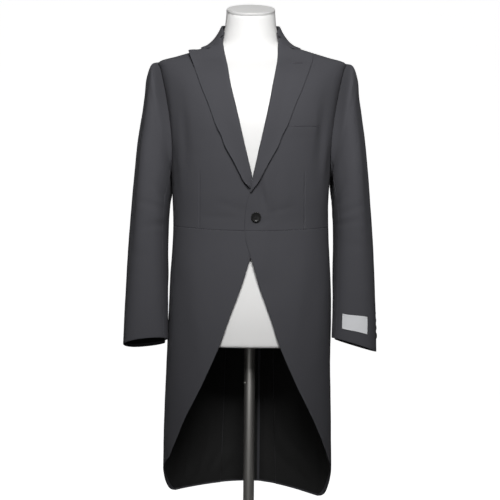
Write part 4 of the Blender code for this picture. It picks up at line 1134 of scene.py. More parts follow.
def label_grid(row_count, turn_count, in_from_edge=0.0):
    """Points and normals over the label's outside, a share in from its edges."""
    low, high = LABEL["row"]
    first, last = LABEL["turn"]
    row = low + (high - low) * np.linspace(in_from_edge, 1 - in_from_edge, row_count)[:, None]
    turn = first + (last - first) * np.linspace(in_from_edge, 1 - in_from_edge, turn_count)[None, :]
    row = row + LABEL["slant"] * (turn - first) / (last - first)
    spots, normals = sleeve_skin(1, turn + 0 * row, row)
    return spots + normals * unevenness(spots, SLEEVE_CREASES_THERE)[..., None], normals


def build_label():
    """A blank woven tape with a raised selvage, tacked on at its corners."""
    spots, normals = label_grid(40, 56)
    rows, columns = np.meshgrid(np.linspace(0, 1, 40), np.linspace(0, 1, 56), indexing="ij")
    inset = np.minimum(np.minimum(rows, 1 - rows) * 38, np.minimum(columns, 1 - columns) * 55)
    border = 0.22 * falloff(inset - LABEL_BORDER, LABEL_BORDER)
    curl = 0.5 * falloff(inset, 5) * (0.5 + 0.5 * np.sin(columns * 9))
    outer = spots + normals * (TRIM_GAP + LABEL["thick"] + border + curl)[..., None]
    inner = spots + normals * (TRIM_GAP + curl)[..., None]
    outer, inner = rounded(outer, inner, 0.2, 0.2, 0.2, 0.2)
    cloth_piece("sleeve_label", "white_label", outer, inner,
                ["first_row", "last_row", "first_column", "last_column"])


def thread_tube(name, paths, radius, paint, sides=8):
    """Sewing thread: a closed round tube along each path of points, all in one mesh."""
    points, faces = [], []
    ring = np.radians(np.arange(sides) * 360 / sides)
    for path in paths:
        path = np.array(path, float)
        step = np.gradient(path, axis=0)
        step /= np.linalg.norm(step, axis=1, keepdims=True)
        aside = np.cross(step, (0.13, 0.21, 1.0))
        aside /= np.linalg.norm(aside, axis=1, keepdims=True)
        lifted = np.cross(step, aside)
        start = len(points)
        for spot, first, second in zip(path, aside, lifted):
            points.extend((spot + radius * (first * math.cos(way) + second * math.sin(way))).tolist() for way in ring)
        for row in range(len(path) - 1):
            for turn in range(sides):
                after = (turn + 1) % sides
                corner = start + row * sides
                faces.append((corner + turn, corner + after, corner + sides + after, corner + sides + turn))
        last = start + (len(path) - 1) * sides
        faces.append(tuple(range(start, start + sides))[::-1])
        faces.append(tuple(range(last, last + sides)))
    mesh = bpy.data.meshes.new(name)
    mesh.from_pydata((np.array(points) * METRES).tolist(), [], faces)
    mesh.validate()
    mesh.shade_smooth()
    piece = bpy.data.objects.new(name, mesh)
    bpy.context.scene.collection.objects.link(piece)
    mesh.materials.append(bpy.data.materials[paint])
    fix_normals(piece)
    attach(piece, "root")
    return piece


def build_buttonhole():
    """A worked buttonhole on the left lapel: a slit with close stitches over a cord round it."""
    low, high, z = BUTTONHOLE["low_x"], BUTTONHOLE["high_x"], BUTTONHOLE["z"]
    half, radius = BUTTONHOLE["half_open"], BUTTONHOLE["thread"]
    turns = np.linspace(0, 2 * math.pi, 160)
    middle, reach = (low + high) / 2, (high - low) / 2
    x = middle + reach * np.sign(np.cos(turns)) * np.abs(np.cos(turns)) ** 0.35
    dz = half * np.sign(np.sin(turns)) * np.abs(np.sin(turns)) ** 0.35
    line_z = z + BUTTONHOLE["drop"] * (x - low) / (high - low) * -1 + dz
    points, normals = turned_surface(1, x, line_z)
    wobble = 0.12 * np.cos(turns * 44)
    path = points + normals * (0.15 + wobble)[:, None]
    piece = thread_tube("lapel_buttonhole_stitches", [path], radius, "charcoal_thread")


def build_label_tacks():
    """A small cross of thread at each corner of the label."""
    spots, normals = label_grid(40, 56)
    paths = []
    for row in (2, -3):
        for column in (2, -3):
            spot, out = spots[row, column], normals[row, column]
            up = spots[row, column] - spots[row - 1, column]
            up /= np.linalg.norm(up)
            aside = np.cross(up, out)
            base = spot + out * (TRIM_GAP + LABEL["thick"] + 0.2)
            for way in (up + aside, up - aside):
                ends = np.linspace(-1, 1, 7)[:, None]
                paths.append(base + way * ends * 1.5 + out * 0.25 * (1 - ends ** 2))
    piece = thread_tube("label_tacks", paths, 0.25, "white_thread")


# Tools for hard pieces
def deselect_all():
    for thing in bpy.context.selected_objects:
        thing.select_set(False)


def only(piece):
    deselect_all()
    piece.select_set(True)
    bpy.context.view_layer.objects.active = piece


def fix_normals(piece):
    """Faces made to point outwards."""
    only(piece)
    bpy.ops.object.mode_set(mode="EDIT")
    bpy.ops.mesh.select_all(action="SELECT")
    bpy.ops.mesh.normals_make_consistent(inside=False)
    bpy.ops.object.mode_set(mode="OBJECT")


def finish_hard(piece, bevel, segments=3, smooth_angle=35):
    """Its edges rounded by a bevel, and shaded smooth."""
    only(piece)
    if bevel:
        modifier = piece.modifiers.new("bevel", "BEVEL")
        modifier.width = bevel * METRES
        modifier.segments = segments
        modifier.limit_method = "ANGLE"
        modifier.angle_limit = math.radians(35)
        bpy.ops.object.modifier_apply(modifier="bevel")
    bpy.ops.object.shade_smooth_by_angle(angle=math.radians(smooth_angle))


def dressed(piece, name, paint, slot, *nodes):
    """The piece named, painted and set to ride, in the place of the CAD nodes given."""
    piece.name = name
    piece.data.name = name
    piece.data.materials.clear()
    piece.data.materials.append(bpy.data.materials[paint])
    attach(piece, "root")
    if nodes:
        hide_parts(*nodes)
    return piece


def cylinder(sides, radius, low, high, x=0.0, y=0.0):
    """A cylinder between two heights, in millimetres."""
    deselect_all()
    bpy.ops.mesh.primitive_cylinder_add(
        vertices=sides, radius=radius * METRES, depth=(high - low) * METRES,
        location=(x * METRES, y * METRES, (low + high) / 2 * METRES))
    bpy.ops.object.transform_apply(location=True, rotation=True, scale=True)
    return bpy.context.active_object


def carve(piece, cutters):
    """The cutters taken away from the piece by a Boolean."""
    deselect_all()
    for cutter in cutters:
        cutter.select_set(True)
    bpy.context.view_layer.objects.active = cutters[0]
    if len(cutters) > 1:
        bpy.ops.object.join()
    tool = cutters[0]
    only(piece)
    modifier = piece.modifiers.new("cut", "BOOLEAN")
    modifier.operation = "DIFFERENCE"
    modifier.solver = "EXACT"
    modifier.object = tool
    bpy.ops.object.modifier_apply(modifier="cut")
    bpy.data.objects.remove(tool)


def select_faces_facing(piece, way, height):
    """In edit mode, the faces that face one way and lie at a height or above it."""
    bm = bmesh.from_edit_mesh(piece.data)
    for face in bm.faces:
        face.select_set(face.normal.dot(Vector(way)) > 0.9 and face.calc_center_median().z > height * METRES)
    bmesh.update_edit_mesh(piece.data)


def round_shell(name, segments, rows, place):
    """A sphere's rings moved to the rings of a shape: place(row, turn) gives points in millimetres."""
    deselect_all()
    bpy.ops.mesh.primitive_uv_sphere_add(segments=segments, ring_count=rows, radius=1)
    piece = bpy.context.active_object
    piece.name = name
    spots = np.zeros(len(piece.data.vertices) * 3)
    piece.data.vertices.foreach_get("co", spots)
    spots = spots.reshape(-1, 3)
    row = np.rint(np.arccos(np.clip(spots[:, 2], -1, 1)) / math.pi * rows).astype(int)
    turn = np.degrees(np.arctan2(spots[:, 0], -spots[:, 1]))
    piece.data.vertices.foreach_set("co", (place(row, turn) * METRES).ravel())
    piece.data.update()
    fix_normals(piece)
    return piece


# Buttons and sewing
def button_blank(radius, thick, paint):
    """A turned button with a raised rim, a dished middle and four holes, its back at the origin."""
    piece = cylinder(BUTTON_SIDES, radius, 0, thick)
    bpy.ops.object.mode_set(mode="EDIT")
    bpy.ops.mesh.select_all(action="DESELECT")
    select_faces_facing(piece, (0, 0, 1), thick * 0.9)
    bpy.ops.mesh.inset(thickness=radius * RIM_SHARE * METRES)
    bpy.ops.mesh.inset(thickness=radius * 0.08 * METRES)
    bpy.ops.transform.translate(value=(0, 0, -thick * DISH_SHARE * METRES))
    bpy.ops.mesh.inset(thickness=radius * 0.3 * METRES)
    bpy.ops.transform.translate(value=(0, 0, -thick * 0.05 * METRES))
    bpy.ops.object.mode_set(mode="OBJECT")
    finish_hard(piece, BUTTON_BEVEL)
    off = radius * HOLE_OFF
    holes = [cylinder(16, radius * HOLE_RADIUS, -1, thick + 1, x, y) for x in (-off, off) for y in (-off, off)]
    carve(piece, holes)
    finish_hard(piece, 0)
    piece.data.materials.clear()
    piece.data.materials.append(bpy.data.materials[paint])
    return piece


def placed_copy(blank, name, centre, facing, node=None):
    """A copy of a blank with its own mesh, moved so that it lies at the centre and faces the way given."""
    turn = Vector(facing).to_track_quat("Z", "Y").to_matrix().to_4x4()
    mesh = blank.data.copy()
    mesh.transform(Matrix.Translation(Vector(centre) * METRES) @ turn)
    piece = bpy.data.objects.new(name, mesh)
    bpy.context.scene.collection.objects.link(piece)
    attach(piece, "root")
    if node:
        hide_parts(node)
    return piece


def thread_blank(radius, thick):
    """Two crossed bars of thread that hold a button, over its four holes."""
    off = radius * HOLE_OFF
    low, top = thick * 0.25, thick * (1 - DISH_SHARE) + 0.15
    share = np.linspace(-1, 1, 13)
    height = np.where(np.abs(share) > 0.99, low, top + 0.35 * (1 - share ** 2))
    bars = []
    for side in (1, -1):
        for beside in (-THREAD, 0, THREAD):
            bars.append(np.stack([off * share - side * beside * 0.7, side * off * share + beside * 0.7,
                                  height + 0.35 * (side > 0)], axis=-1))
    return thread_tube("button_thread", bars, THREAD * 0.55, "dark_thread")


def sewn_buttons(radius, thick, spots):
    """Buttons of one size with their threads, at each spot: name, centre and facing."""
    blank = button_blank(radius, thick, "black_button")
    thread = thread_blank(radius, thick)
    for name, centre, facing in spots:
        seat = np.array(centre) + np.array(facing) * BUTTON_GAP
        placed_copy(blank, f"{name}_turned", seat, facing, name)
        placed_copy(thread, f"{name}_thread", seat, facing)
    bpy.data.objects.remove(blank)
    bpy.data.objects.remove(thread)


def front_button_spot():
    x, z = FRONT_BUTTON["x"], FRONT_BUTTON["z"]
    angle = COAT.angle_at_x(x, z)
    points, normals = skin(COAT, 1, angle, z)
    lift = front_lift(1, x, z) + folds(1, angle, z) + unevenness(points, COAT_CREASES)
    return [("front_button", points + normals * lift, normals)]


def hip_button_spots():
    spots = []
    z = HIP_BUTTON["z"]
    x = float(back_seam_x(z)) - HIP_BUTTON["inset"]
    angle = COAT.angle_at_x(x, z, behind=True)
    for side in (1, -1):
        points, normals = skin(COAT, side, angle, z)
        lift = tail_lift(side, angle, x, z) + unevenness(points, COAT_CREASES)
        spots.append((f"hip_button_{side_name(side)}", points + normals * lift, normals))
    return spots


def cuff_button_spots():
    """A row of buttons beside each hind seam, spaced by length up from the hem."""
    found = []
    rows = np.linspace(11, 8.5, 120)
    for side in (1, -1):
        seam = hind_seam(side, rows)
        turn = seam - sleeve_seam_gap(side, seam, rows, CUFF_BUTTON["in_from_seam"])
        spots, normals = sleeve_skin(side, turn, rows)
        length = np.concatenate([[0], np.cumsum(np.linalg.norm(np.diff(spots, axis=0), axis=1))])
        lifted = spots + normals * unevenness(spots, SLEEVE_CREASES_THERE)[:, None]
        for index in range(CUFF_BUTTON["count"]):
            place = np.searchsorted(length, CUFF_BUTTON_FROM_HEM[side] + index * CUFF_BUTTON["spacing"])
            found.append((f"cuff_button_{side_name(side)}_{index + 1}", lifted[place], normals[place]))
    return found


# Form and stand
def form_rings():
    """The form's table: the coat's rings moved in by their clearance, then the bare neck."""
    rows = np.array(COAT_RINGS, float)
    rows = rows[rows[:, 0] >= FORM_LOWEST_RING_Z]
    inside = grown(rows[:, :6], -rows[:, 6])
    return Rings(np.vstack([inside, NECK_RINGS]))


def cap_plane(points):
    """Height of the neck's tilted top at each point."""
    return CAP_Z + (points[..., 1] - NECK_Y) * math.tan(math.radians(CAP_TILT))


def build_form():
    """The torso: a rounded bottom rim, the body's rings, and a neck cut by a tilted plane."""
    form = form_rings()
    round_steps = np.radians(np.linspace(0, 90, 6))
    low = np.stack([FORM_BOTTOM_Z + FORM_RIM * (1 - np.cos(round_steps)),
                    1 - FORM_RIM_IN * (1 - np.sin(round_steps))], axis=-1)
    body = [(z, 1) for z in np.linspace(FORM_BOTTOM_Z + FORM_RIM, NECK_STRAIGHT_Z, FORM_RINGS)[1:]]
    rows = np.vstack([[(FORM_BOTTOM_Z + 0.6, 0.0), (FORM_BOTTOM_Z + 0.4, 0.5)], low, body])
    neck_shares = np.linspace(0, 1, 6)[1:]
    count = len(rows) + len(neck_shares) + 1

    def place(row, turn):
        from_bottom = count - row
        inside = np.minimum(from_bottom, len(rows) - 1)
        z, spread = rows[inside, 0], rows[inside, 1]
        points = form.point(turn, z)
        points[:, :2] *= spread[:, None]
        neck = np.clip(from_bottom - len(rows), -1, len(neck_shares) - 1)
        share = np.where(neck >= 0, neck_shares[neck], 0)
        top = form.point(turn, NECK_STRAIGHT_Z + (CAP_Z - NECK_STRAIGHT_Z) * share)
        top[:, 2] = NECK_STRAIGHT_Z + (cap_plane(top) - NECK_STRAIGHT_Z) * share
        points = np.where((neck >= 0)[:, None], top, points)
        points = np.where((row == 0)[:, None], (0, NECK_Y, CAP_Z), points)
        return leaning([points])[0]

    piece = round_shell("form_torso_shell", FORM_SEGMENTS, count, place)
    finish_hard(piece, 0, smooth_angle=50)
    return dressed(piece, "form_torso_shell", "form_lacquer", "white_form", "form_torso")


def build_neck_cap():
    """A lid with a rounded rim on the neck's tilted top."""
    form = form_rings()
    middle = np.array((0, NECK_Y, CAP_Z))
    tilt = math.radians(CAP_TILT)
    up = np.array((0, -math.sin(tilt), math.cos(tilt)))
    profile = smooth_rows(CAP_RIM, 3)
    rows = np.vstack([(0, profile[0, 1]), profile, (0, profile[-1, 1] + 0.1)])

    def place(row, turn):
        spread, height = rows[len(rows) - 1 - row].T
        rim = form.point(turn, np.full(len(turn), CAP_Z))
        rim[:, 2] = cap_plane(rim)
        return leaning([middle + (rim - middle) * spread[:, None] + up * height[:, None]])[0]

    piece = round_shell("neck_cap_lid", FORM_SEGMENTS, len(rows) - 1, place)
    finish_hard(piece, 0, smooth_angle=60)
    # The cap's lacquer is drawn darker: painted shade on its tilted top.
    return dressed(piece, "neck_cap_lid", "cap_paint", "white_form", "neck_cap")


def build_pole():
    """The steel tube with turned ends, and the screw that holds its height."""
    low, high = BASE_THICK + SEAM_GAP, FORM_BOTTOM_Z + POLE_SOCKET - SEAM_GAP
    piece = cylinder(96, POLE_RADIUS, low, high)
    bpy.ops.object.mode_set(mode="EDIT")
    bpy.ops.mesh.select_all(action="DESELECT")
    select_faces_facing(piece, (0, 0, 1), high - 1)
    bpy.ops.mesh.inset(thickness=1.5 * METRES)
    bpy.ops.transform.translate(value=(0, 0, -1.0 * METRES))
    bpy.ops.object.mode_set(mode="OBJECT")
    finish_hard(piece, 0.6)
    dressed(piece, "stand_pole_tube", "brushed_steel", "brushed_steel", "stand_pole")
    screw = cylinder(24, SET_SCREW["radius"], 0, SET_SCREW["out"])
    finish_hard(screw, 0.4)
    bpy.ops.mesh.primitive_cube_add(size=1, location=(0, 0, SET_SCREW["out"] * METRES))
    slot = bpy.context.active_object
    slot.scale = (3 * SET_SCREW["radius"] * METRES, 0.8 * METRES, 1.4 * METRES)
    bpy.ops.object.transform_apply(location=True, rotation=True, scale=True)
    carve(screw, [slot])
    finish_hard(screw, 0)
    screw.data.materials.clear()
    screw.data.materials.append(bpy.data.materials["brushed_steel"])
    turn = math.radians(SET_SCREW["turn"])
    way = (math.sin(turn), -math.cos(turn), 0)
    centre = (way[0] * (POLE_RADIUS - 0.4), way[1] * (POLE_RADIUS - 0.4), SET_SCREW["z"])
    placed_copy(screw, "stand_set_screw", centre, way)
    bpy.data.objects.remove(screw)


def build_base():
    """The round base plate with an eased top edge and a shallow turned ring."""
    piece = cylinder(192, BASE_RADIUS, 0, BASE_THICK)
    bpy.ops.object.mode_set(mode="EDIT")
    bpy.ops.mesh.select_all(action="DESELECT")
    select_faces_facing(piece, (0, 0, 1), BASE_THICK - 1)
    bpy.ops.mesh.inset(thickness=6 * METRES)
    bpy.ops.mesh.inset(thickness=1 * METRES)
    bpy.ops.transform.translate(value=(0, 0, -0.6 * METRES))
    bpy.ops.mesh.inset(thickness=1 * METRES)
    bpy.ops.transform.translate(value=(0, 0, 0.6 * METRES))
    bpy.ops.mesh.inset(thickness=(BASE_RADIUS - 8 - HUB_RADIUS) * METRES)
    bpy.ops.object.mode_set(mode="OBJECT")
    finish_hard(piece, 0.9)
    dressed(piece, "stand_base_plate", "base_steel", "brushed_steel", "stand_base")


# Materials
def new_group(name, inputs, outputs):
    """An empty shader node group with named sockets: (name, type, default)."""
    group = bpy.data.node_groups.new(name, "ShaderNodeTree")
    for label, kind, default in inputs:
        socket = group.interface.new_socket(name=label, in_out="INPUT", socket_type=f"NodeSocket{kind}")
        if default is not None:
            socket.default_value = default
    for label, kind in outputs:
        group.interface.new_socket(name=label, in_out="OUTPUT", socket_type=f"NodeSocket{kind}")
    return group, Wiring(group)


class Wiring:
    """Short ways to add and join shader nodes in one tree."""

    def __init__(self, tree):
        self.tree = tree

    def node(self, kind, **settings):
        made = self.tree.nodes.new(f"ShaderNode{kind}")
        for key, value in settings.items():
            setattr(made, key, value)
        return made

    def group_end(self, which):
        return self.tree.nodes.new(f"NodeGroup{which}")

    def feed(self, socket, value):
        if isinstance(value, bpy.types.NodeSocket):
            self.tree.links.new(value, socket)
        else:
            socket.default_value = value

    def maths(self, operation, *values, clamp=False):
        made = self.node("Math", operation=operation, use_clamp=clamp)
        for socket, value in zip(made.inputs, values):
            self.feed(socket, value)
        return made.outputs[0]

    def vector(self, operation, *values):
        made = self.node("VectorMath", operation=operation)
        for socket, value in zip(made.inputs, values):
            self.feed(socket, value)
        return made.outputs[0]

    def mix(self, share, first, second, blend="MIX"):
        made = self.node("Mix", data_type="RGBA", blend_type=blend)
        self.feed(made.inputs[0], share)
        self.feed(made.inputs[6], first)
        self.feed(made.inputs[7], second)
        return made.outputs[2]

    def noise(self, coordinates, scale, detail=2.0, roughness=0.5):
        made = self.node("TexNoise")
        self.feed(made.inputs["Vector"], coordinates)
        self.feed(made.inputs["Scale"], scale)
        made.inputs["Detail"].default_value = detail
        made.inputs["Roughness"].default_value = roughness
        return made.outputs["Fac"]

    def spread(self, value, low, high, to_low=0.0, to_high=1.0):
        made = self.node("MapRange", interpolation_type="SMOOTHSTEP")
        for socket, number in zip(made.inputs, (value, low, high, to_low, to_high)):
            self.feed(socket, number)
        return made.outputs[0]


def weave_group():
    """Twill threads with flecks: a colour between dark and light, darker in the grooves between threads as painted
    shade, and a height from 0 to 1.
    """
    group, wire = new_group("twill_weave", (
        ("Coordinates", "Vector", None), ("Thread", "Float", 0.0006), ("Dark", "Color", (0.02, 0.02, 0.02, 1)),
        ("Light", "Color", (0.08, 0.08, 0.08, 1)), ("Fleck", "Float", 0.5)), (("Colour", "Color"), ("Height", "Float")))
    given = wire.group_end("Input").outputs
    per_metre = wire.maths("DIVIDE", 1.0, given["Thread"])
    scaled = wire.vector("SCALE", given["Coordinates"])
    wire.feed(scaled.node.inputs["Scale"], per_metre)
    parts = wire.node("SeparateXYZ")
    wire.feed(parts.inputs[0], scaled)
    across, along = parts.outputs[0], parts.outputs[1]
    step = wire.maths("SUBTRACT", wire.maths("FLOOR", across), wire.maths("FLOOR", along))
    over = wire.maths("LESS_THAN", wire.maths("FLOORED_MODULO", step, 4.0), 2.0)
    round_across = wire.maths("PINGPONG", across, 0.5)
    round_along = wire.maths("PINGPONG", along, 0.5)
    warp = wire.maths("MULTIPLY", wire.maths("MULTIPLY", round_across, 2.0), over)
    weft = wire.maths("MULTIPLY", wire.maths("MULTIPLY", round_along, 1.6), wire.maths("SUBTRACT", 1.0, over))
    height = wire.maths("ADD", warp, weft)
    fleck = wire.noise(scaled, 0.32, 3.0, 0.65)
    streak = wire.vector("MULTIPLY", scaled, (0.30, 0.035, 0.3))
    drawn = wire.noise(streak, 1.0, 2.0)
    slow = wire.noise(scaled, 0.012, 2.0)
    # Painted shade: the thread height darkens the colour in the grooves between threads; the flecks, streaks and slow
    # drift below are the yarn's own tone.
    tone = wire.maths("MULTIPLY", height, 0.30)
    tone = wire.maths("ADD", tone, wire.maths("MULTIPLY", wire.spread(fleck, 0.3, 0.7), given["Fleck"]))
    tone = wire.maths("ADD", tone, wire.maths("MULTIPLY", wire.spread(drawn, 0.3, 0.7), 0.22))
    tone = wire.maths("ADD", tone, wire.maths("MULTIPLY", wire.spread(slow, 0.3, 0.7), 0.12), clamp=True)
    given_out = wire.group_end("Output")
    wire.feed(given_out.inputs["Colour"], wire.mix(tone, given["Dark"], given["Light"]))
    wire.feed(given_out.inputs["Height"], height)
    return group


def stitch_group():
    """Fine stitches at a distance in from a free edge, as a mask from 0 to 1."""
    group, wire = new_group("edge_stitches", (
        ("Run", "Vector", None), ("Inset", "Float", 0.004), ("Length", "Float", 0.005), ("Width", "Float", 0.0007)),
        (("Mask", "Float"),))
    given = wire.group_end("Input").outputs
    parts = wire.node("SeparateXYZ")
    wire.feed(parts.inputs[0], given["Run"])
    off = wire.maths("ABSOLUTE", wire.maths("SUBTRACT", parts.outputs[0], given["Inset"]))
    line = wire.spread(wire.maths("DIVIDE", off, given["Width"]), 0.4, 1.0, 1.0, 0.0)
    place = wire.maths("FRACT", wire.maths("DIVIDE", parts.outputs[1], given["Length"]))
    dash = wire.spread(wire.maths("ABSOLUTE", wire.maths("SUBTRACT", place, 0.5)), 0.12, 0.2, 1.0, 0.0)
    wire.feed(wire.group_end("Output").inputs["Mask"], wire.maths("MULTIPLY", line, dash))
    return group


def mottle_group():
    """Fine and slow unevenness of a hard surface, as two values from 0 to 1."""
    group, wire = new_group("mottle", (
        ("Coordinates", "Vector", None), ("Fine", "Float", 400.0), ("Slow", "Float", 12.0)),
        (("Grain", "Float"), ("Drift", "Float")))
    given = wire.group_end("Input").outputs
    grain = wire.noise(given["Coordinates"], given["Fine"], 3.0, 0.6)
    drift = wire.noise(given["Coordinates"], given["Slow"], 2.0)
    out = wire.group_end("Output")
    wire.feed(out.inputs["Grain"], wire.spread(grain, 0.3, 0.7))
    wire.feed(out.inputs["Drift"], wire.spread(drift, 0.3, 0.7))
    return group


def placed_group(wire, group, **values):
    made = wire.node("Group", node_tree=group)
    for label, value in values.items():
        wire.feed(made.inputs[label], value)
    return made.outputs


def new_material(name):
    """A material with its wiring and its Principled shader."""
    paint = bpy.data.materials.new(name)
    paint.use_nodes = True
    shader = paint.node_tree.nodes["Principled BSDF"]
    return Wiring(paint.node_tree), shader


def bump(wire, shader, height, strength, distance):
    made = wire.node("Bump")
    made.inputs["Strength"].default_value = strength
    made.inputs["Distance"].default_value = distance
    wire.feed(made.inputs["Height"], height)
    wire.feed(shader.inputs["Normal"], made.outputs[0])


def set_shader(shader, **values):
    for label, value in values.items():
        shader.inputs[label.replace("_", " ")].default_value = value


def cloth_uv(wire):
    made = wire.node("UVMap")
    made.uv_map = "cloth"
    return made.outputs[0]


def paint_wool(coat, weave, stitches):
    wire, shader = new_material("charcoal_wool")
    cloth = placed_group(wire, weave, Coordinates=cloth_uv(wire), Thread=coat.thread_spacing,
                         Dark=(*coat.wool_dark, 1), Light=(*coat.wool_light, 1), Fleck=0.42)
    run = wire.node("Attribute", attribute_name="edge_run")
    sewn = placed_group(wire, stitches, Run=run.outputs["Vector"], Inset=0.0045, Length=0.0052, Width=0.0007)
    colour = wire.mix(wire.maths("MULTIPLY", sewn["Mask"], 0.35), cloth["Colour"], (*coat.wool_dark, 1))
    # Painted shade: the base colour darkens towards black where the wool turns from the eye, standing in for the light
    # falling off at the sides.
    slant = wire.node("LayerWeight").outputs["Facing"]
    painted_shade_share = wire.maths("MULTIPLY", wire.spread(slant, 0.005, 0.15), coat.painted_slant_shade)
    wire.feed(shader.inputs["Base Color"], wire.mix(painted_shade_share, colour, (0, 0, 0, 1)))
    rough = wire.maths("ADD", wire.maths("MULTIPLY", cloth["Height"], 0.1), 0.78)
    wire.feed(shader.inputs["Roughness"], rough)
    height = wire.maths("SUBTRACT", cloth["Height"], wire.maths("MULTIPLY", sewn["Mask"], 2.0))
    bump(wire, shader, height, 0.35, 0.00012)
    set_shader(shader, Specular_IOR_Level=0.12)


def paint_satin(coat, weave):
    wire, shader = new_material("black_satin")
    cloth = placed_group(wire, weave, Coordinates=cloth_uv(wire), Thread=0.0003,
                         Dark=(*coat.satin, 1), Light=(*(2.2 * np.array(coat.satin)), 1), Fleck=0.3)
    wire.feed(shader.inputs["Base Color"], cloth["Colour"])
    wire.feed(shader.inputs["Roughness"], wire.maths("ADD", wire.maths("MULTIPLY", cloth["Height"], 0.08), 0.34))
    bump(wire, shader, cloth["Height"], 0.15, 0.00005)
    set_shader(shader, Specular_IOR_Level=0.55, Sheen_Weight=0.1, Sheen_Roughness=0.4)


def paint_label(coat, weave, stitches):
    wire, shader = new_material("white_label")
    light = np.array(coat.label)
    cloth = placed_group(wire, weave, Coordinates=cloth_uv(wire), Thread=0.0004,
                         Dark=(*(0.8 * light), 1), Light=(*light, 1), Fleck=0.3)
    run = wire.node("Attribute", attribute_name="edge_run")
    sewn = placed_group(wire, stitches, Run=run.outputs["Vector"], Inset=0.0014, Length=0.0016, Width=0.0006)
    colour = wire.mix(wire.maths("MULTIPLY", sewn["Mask"], 0.5), cloth["Colour"], (*(0.7 * light), 1))
    wire.feed(shader.inputs["Base Color"], colour)
    wire.feed(shader.inputs["Roughness"], wire.maths("ADD", wire.maths("MULTIPLY", cloth["Height"], 0.15), 0.55))
    bump(wire, shader, wire.maths("ADD", cloth["Height"], sewn["Mask"]), 0.3, 0.00008)
    set_shader(shader, Sheen_Weight=0.1, Sheen_Roughness=0.5)


def paint_thread(name, colour):
    """Twisted thread: slanting strands in object space, darker between the strands as painted shade."""
    wire, shader = new_material(name)
    place = wire.node("TexCoord").outputs["Object"]
    wave = wire.node("TexWave", wave_type="BANDS", bands_direction="DIAGONAL")
    wire.feed(wave.inputs["Vector"], place)
    wave.inputs["Scale"].default_value = 900.0
    wave.inputs["Distortion"].default_value = 1.5
    strand = wave.outputs["Fac"]
    dark = tuple(0.5 * part for part in colour)
    # Painted shade: the bands darken the colour in the grooves between strands.
    wire.feed(shader.inputs["Base Color"], wire.mix(strand, (*dark, 1), (*colour, 1)))
    wire.feed(shader.inputs["Roughness"], wire.maths("ADD", wire.maths("MULTIPLY", strand, 0.2), 0.45))
    bump(wire, shader, strand, 0.4, 0.0001)
    set_shader(shader, Sheen_Weight=0.2, Sheen_Roughness=0.4)


def paint_button(coat, mottle):
    """Polished dark horn with faint streaks, lighter on its sharp convex rims."""
    wire, shader = new_material("black_button")
    place = wire.node("TexCoord").outputs["Object"]
    drawn = wire.vector("MULTIPLY", place, (1.0, 1.0, 4.0))
    marks = placed_group(wire, mottle, Coordinates=drawn, Fine=420.0, Slow=90.0)
    base = np.array(coat.button)
    streaked = wire.mix(marks["Drift"], (*base, 1), (*(3.2 * base), 1))
    # Lighter grey where the surface is sharply convex, on the rims and round the holes.
    rim_lightening = wire.node("NewGeometry").outputs["Pointiness"]
    rim_lightening = wire.spread(rim_lightening, 0.52, 0.62)
    wire.feed(shader.inputs["Base Color"], wire.mix(wire.maths("MULTIPLY", rim_lightening, 0.35), streaked, (0.09, 0.09, 0.095, 1)))
    rough = wire.maths("ADD", wire.maths("MULTIPLY", marks["Grain"], 0.14), 0.2)
    wire.feed(shader.inputs["Roughness"], rough)
    bump(wire, shader, marks["Grain"], 0.12, 0.0002)
    set_shader(shader, Coat_Weight=0.35, Coat_Roughness=0.12)


def paint_form(stand, mottle):
    """White lacquer on the form, with a faint orange-peel surface, and a darker copy for the cap: painted shade on its
    tilted top.
    """
    # The cap's copy of the lacquer is darkened by the cap's share: painted shade on its tilted top.
    for name, shade, rough in (("form_lacquer", 1.0, 0.5), ("cap_paint", stand.cap_painted_shade, 0.5)):
        wire, shader = new_material(name)
        place = wire.node("TexCoord").outputs["Object"]
        marks = placed_group(wire, mottle, Coordinates=place, Fine=260.0, Slow=5.0)
        light = shade * np.array(stand.form)
        wire.feed(shader.inputs["Base Color"], wire.mix(marks["Drift"], (*(0.97 * light), 1), (*light, 1)))
        wire.feed(shader.inputs["Roughness"], wire.maths("ADD", wire.maths("MULTIPLY", marks["Drift"], 0.08), rough))
        bump(wire, shader, marks["Grain"], 0.05, 0.0002)
        set_shader(shader, Coat_Weight=0.08, Coat_Roughness=0.35, Specular_IOR_Level=0.35)


def paint_steel(stand):
    """Brushed steel: fine lines along the pole, round the base plate."""
    for name, stretch in (("brushed_steel", (900.0, 900.0, 14.0)), ("base_steel", (260.0, 26.0, 200.0))):
        wire, shader = new_material(name)
        place = wire.node("TexCoord").outputs["Object"]
        if name == "base_steel":
            parts = wire.node("SeparateXYZ")
            wire.feed(parts.inputs[0], place)
            turn = wire.maths("ARCTAN2", parts.outputs[1], parts.outputs[0])
            flat = wire.vector("MULTIPLY", place, (1.0, 1.0, 0.0))
            reach = wire.vector("LENGTH", flat).node.outputs["Value"]
            joined = wire.node("CombineXYZ")
            wire.feed(joined.inputs[0], wire.maths("MULTIPLY", reach, 3.0))
            wire.feed(joined.inputs[1], wire.maths("MULTIPLY", turn, 0.02))
            place = joined.outputs[0]
        lines = wire.noise(wire.vector("MULTIPLY", place, stretch), 1.0, 3.0, 0.6)
        cloud = wire.noise(place, 9.0, 2.0)
        base = np.array(stand.steel)
        wire.feed(shader.inputs["Base Color"], wire.mix(lines, (*(0.82 * base), 1), (*base, 1)))
        rough = wire.maths("ADD", wire.maths("MULTIPLY", lines, 0.16), wire.maths("MULTIPLY", cloud, 0.08))
        wire.feed(shader.inputs["Roughness"], wire.maths("ADD", rough, 0.16))
        bump(wire, shader, lines, 0.1, 0.00005)
        set_shader(shader, Metallic=1.0)


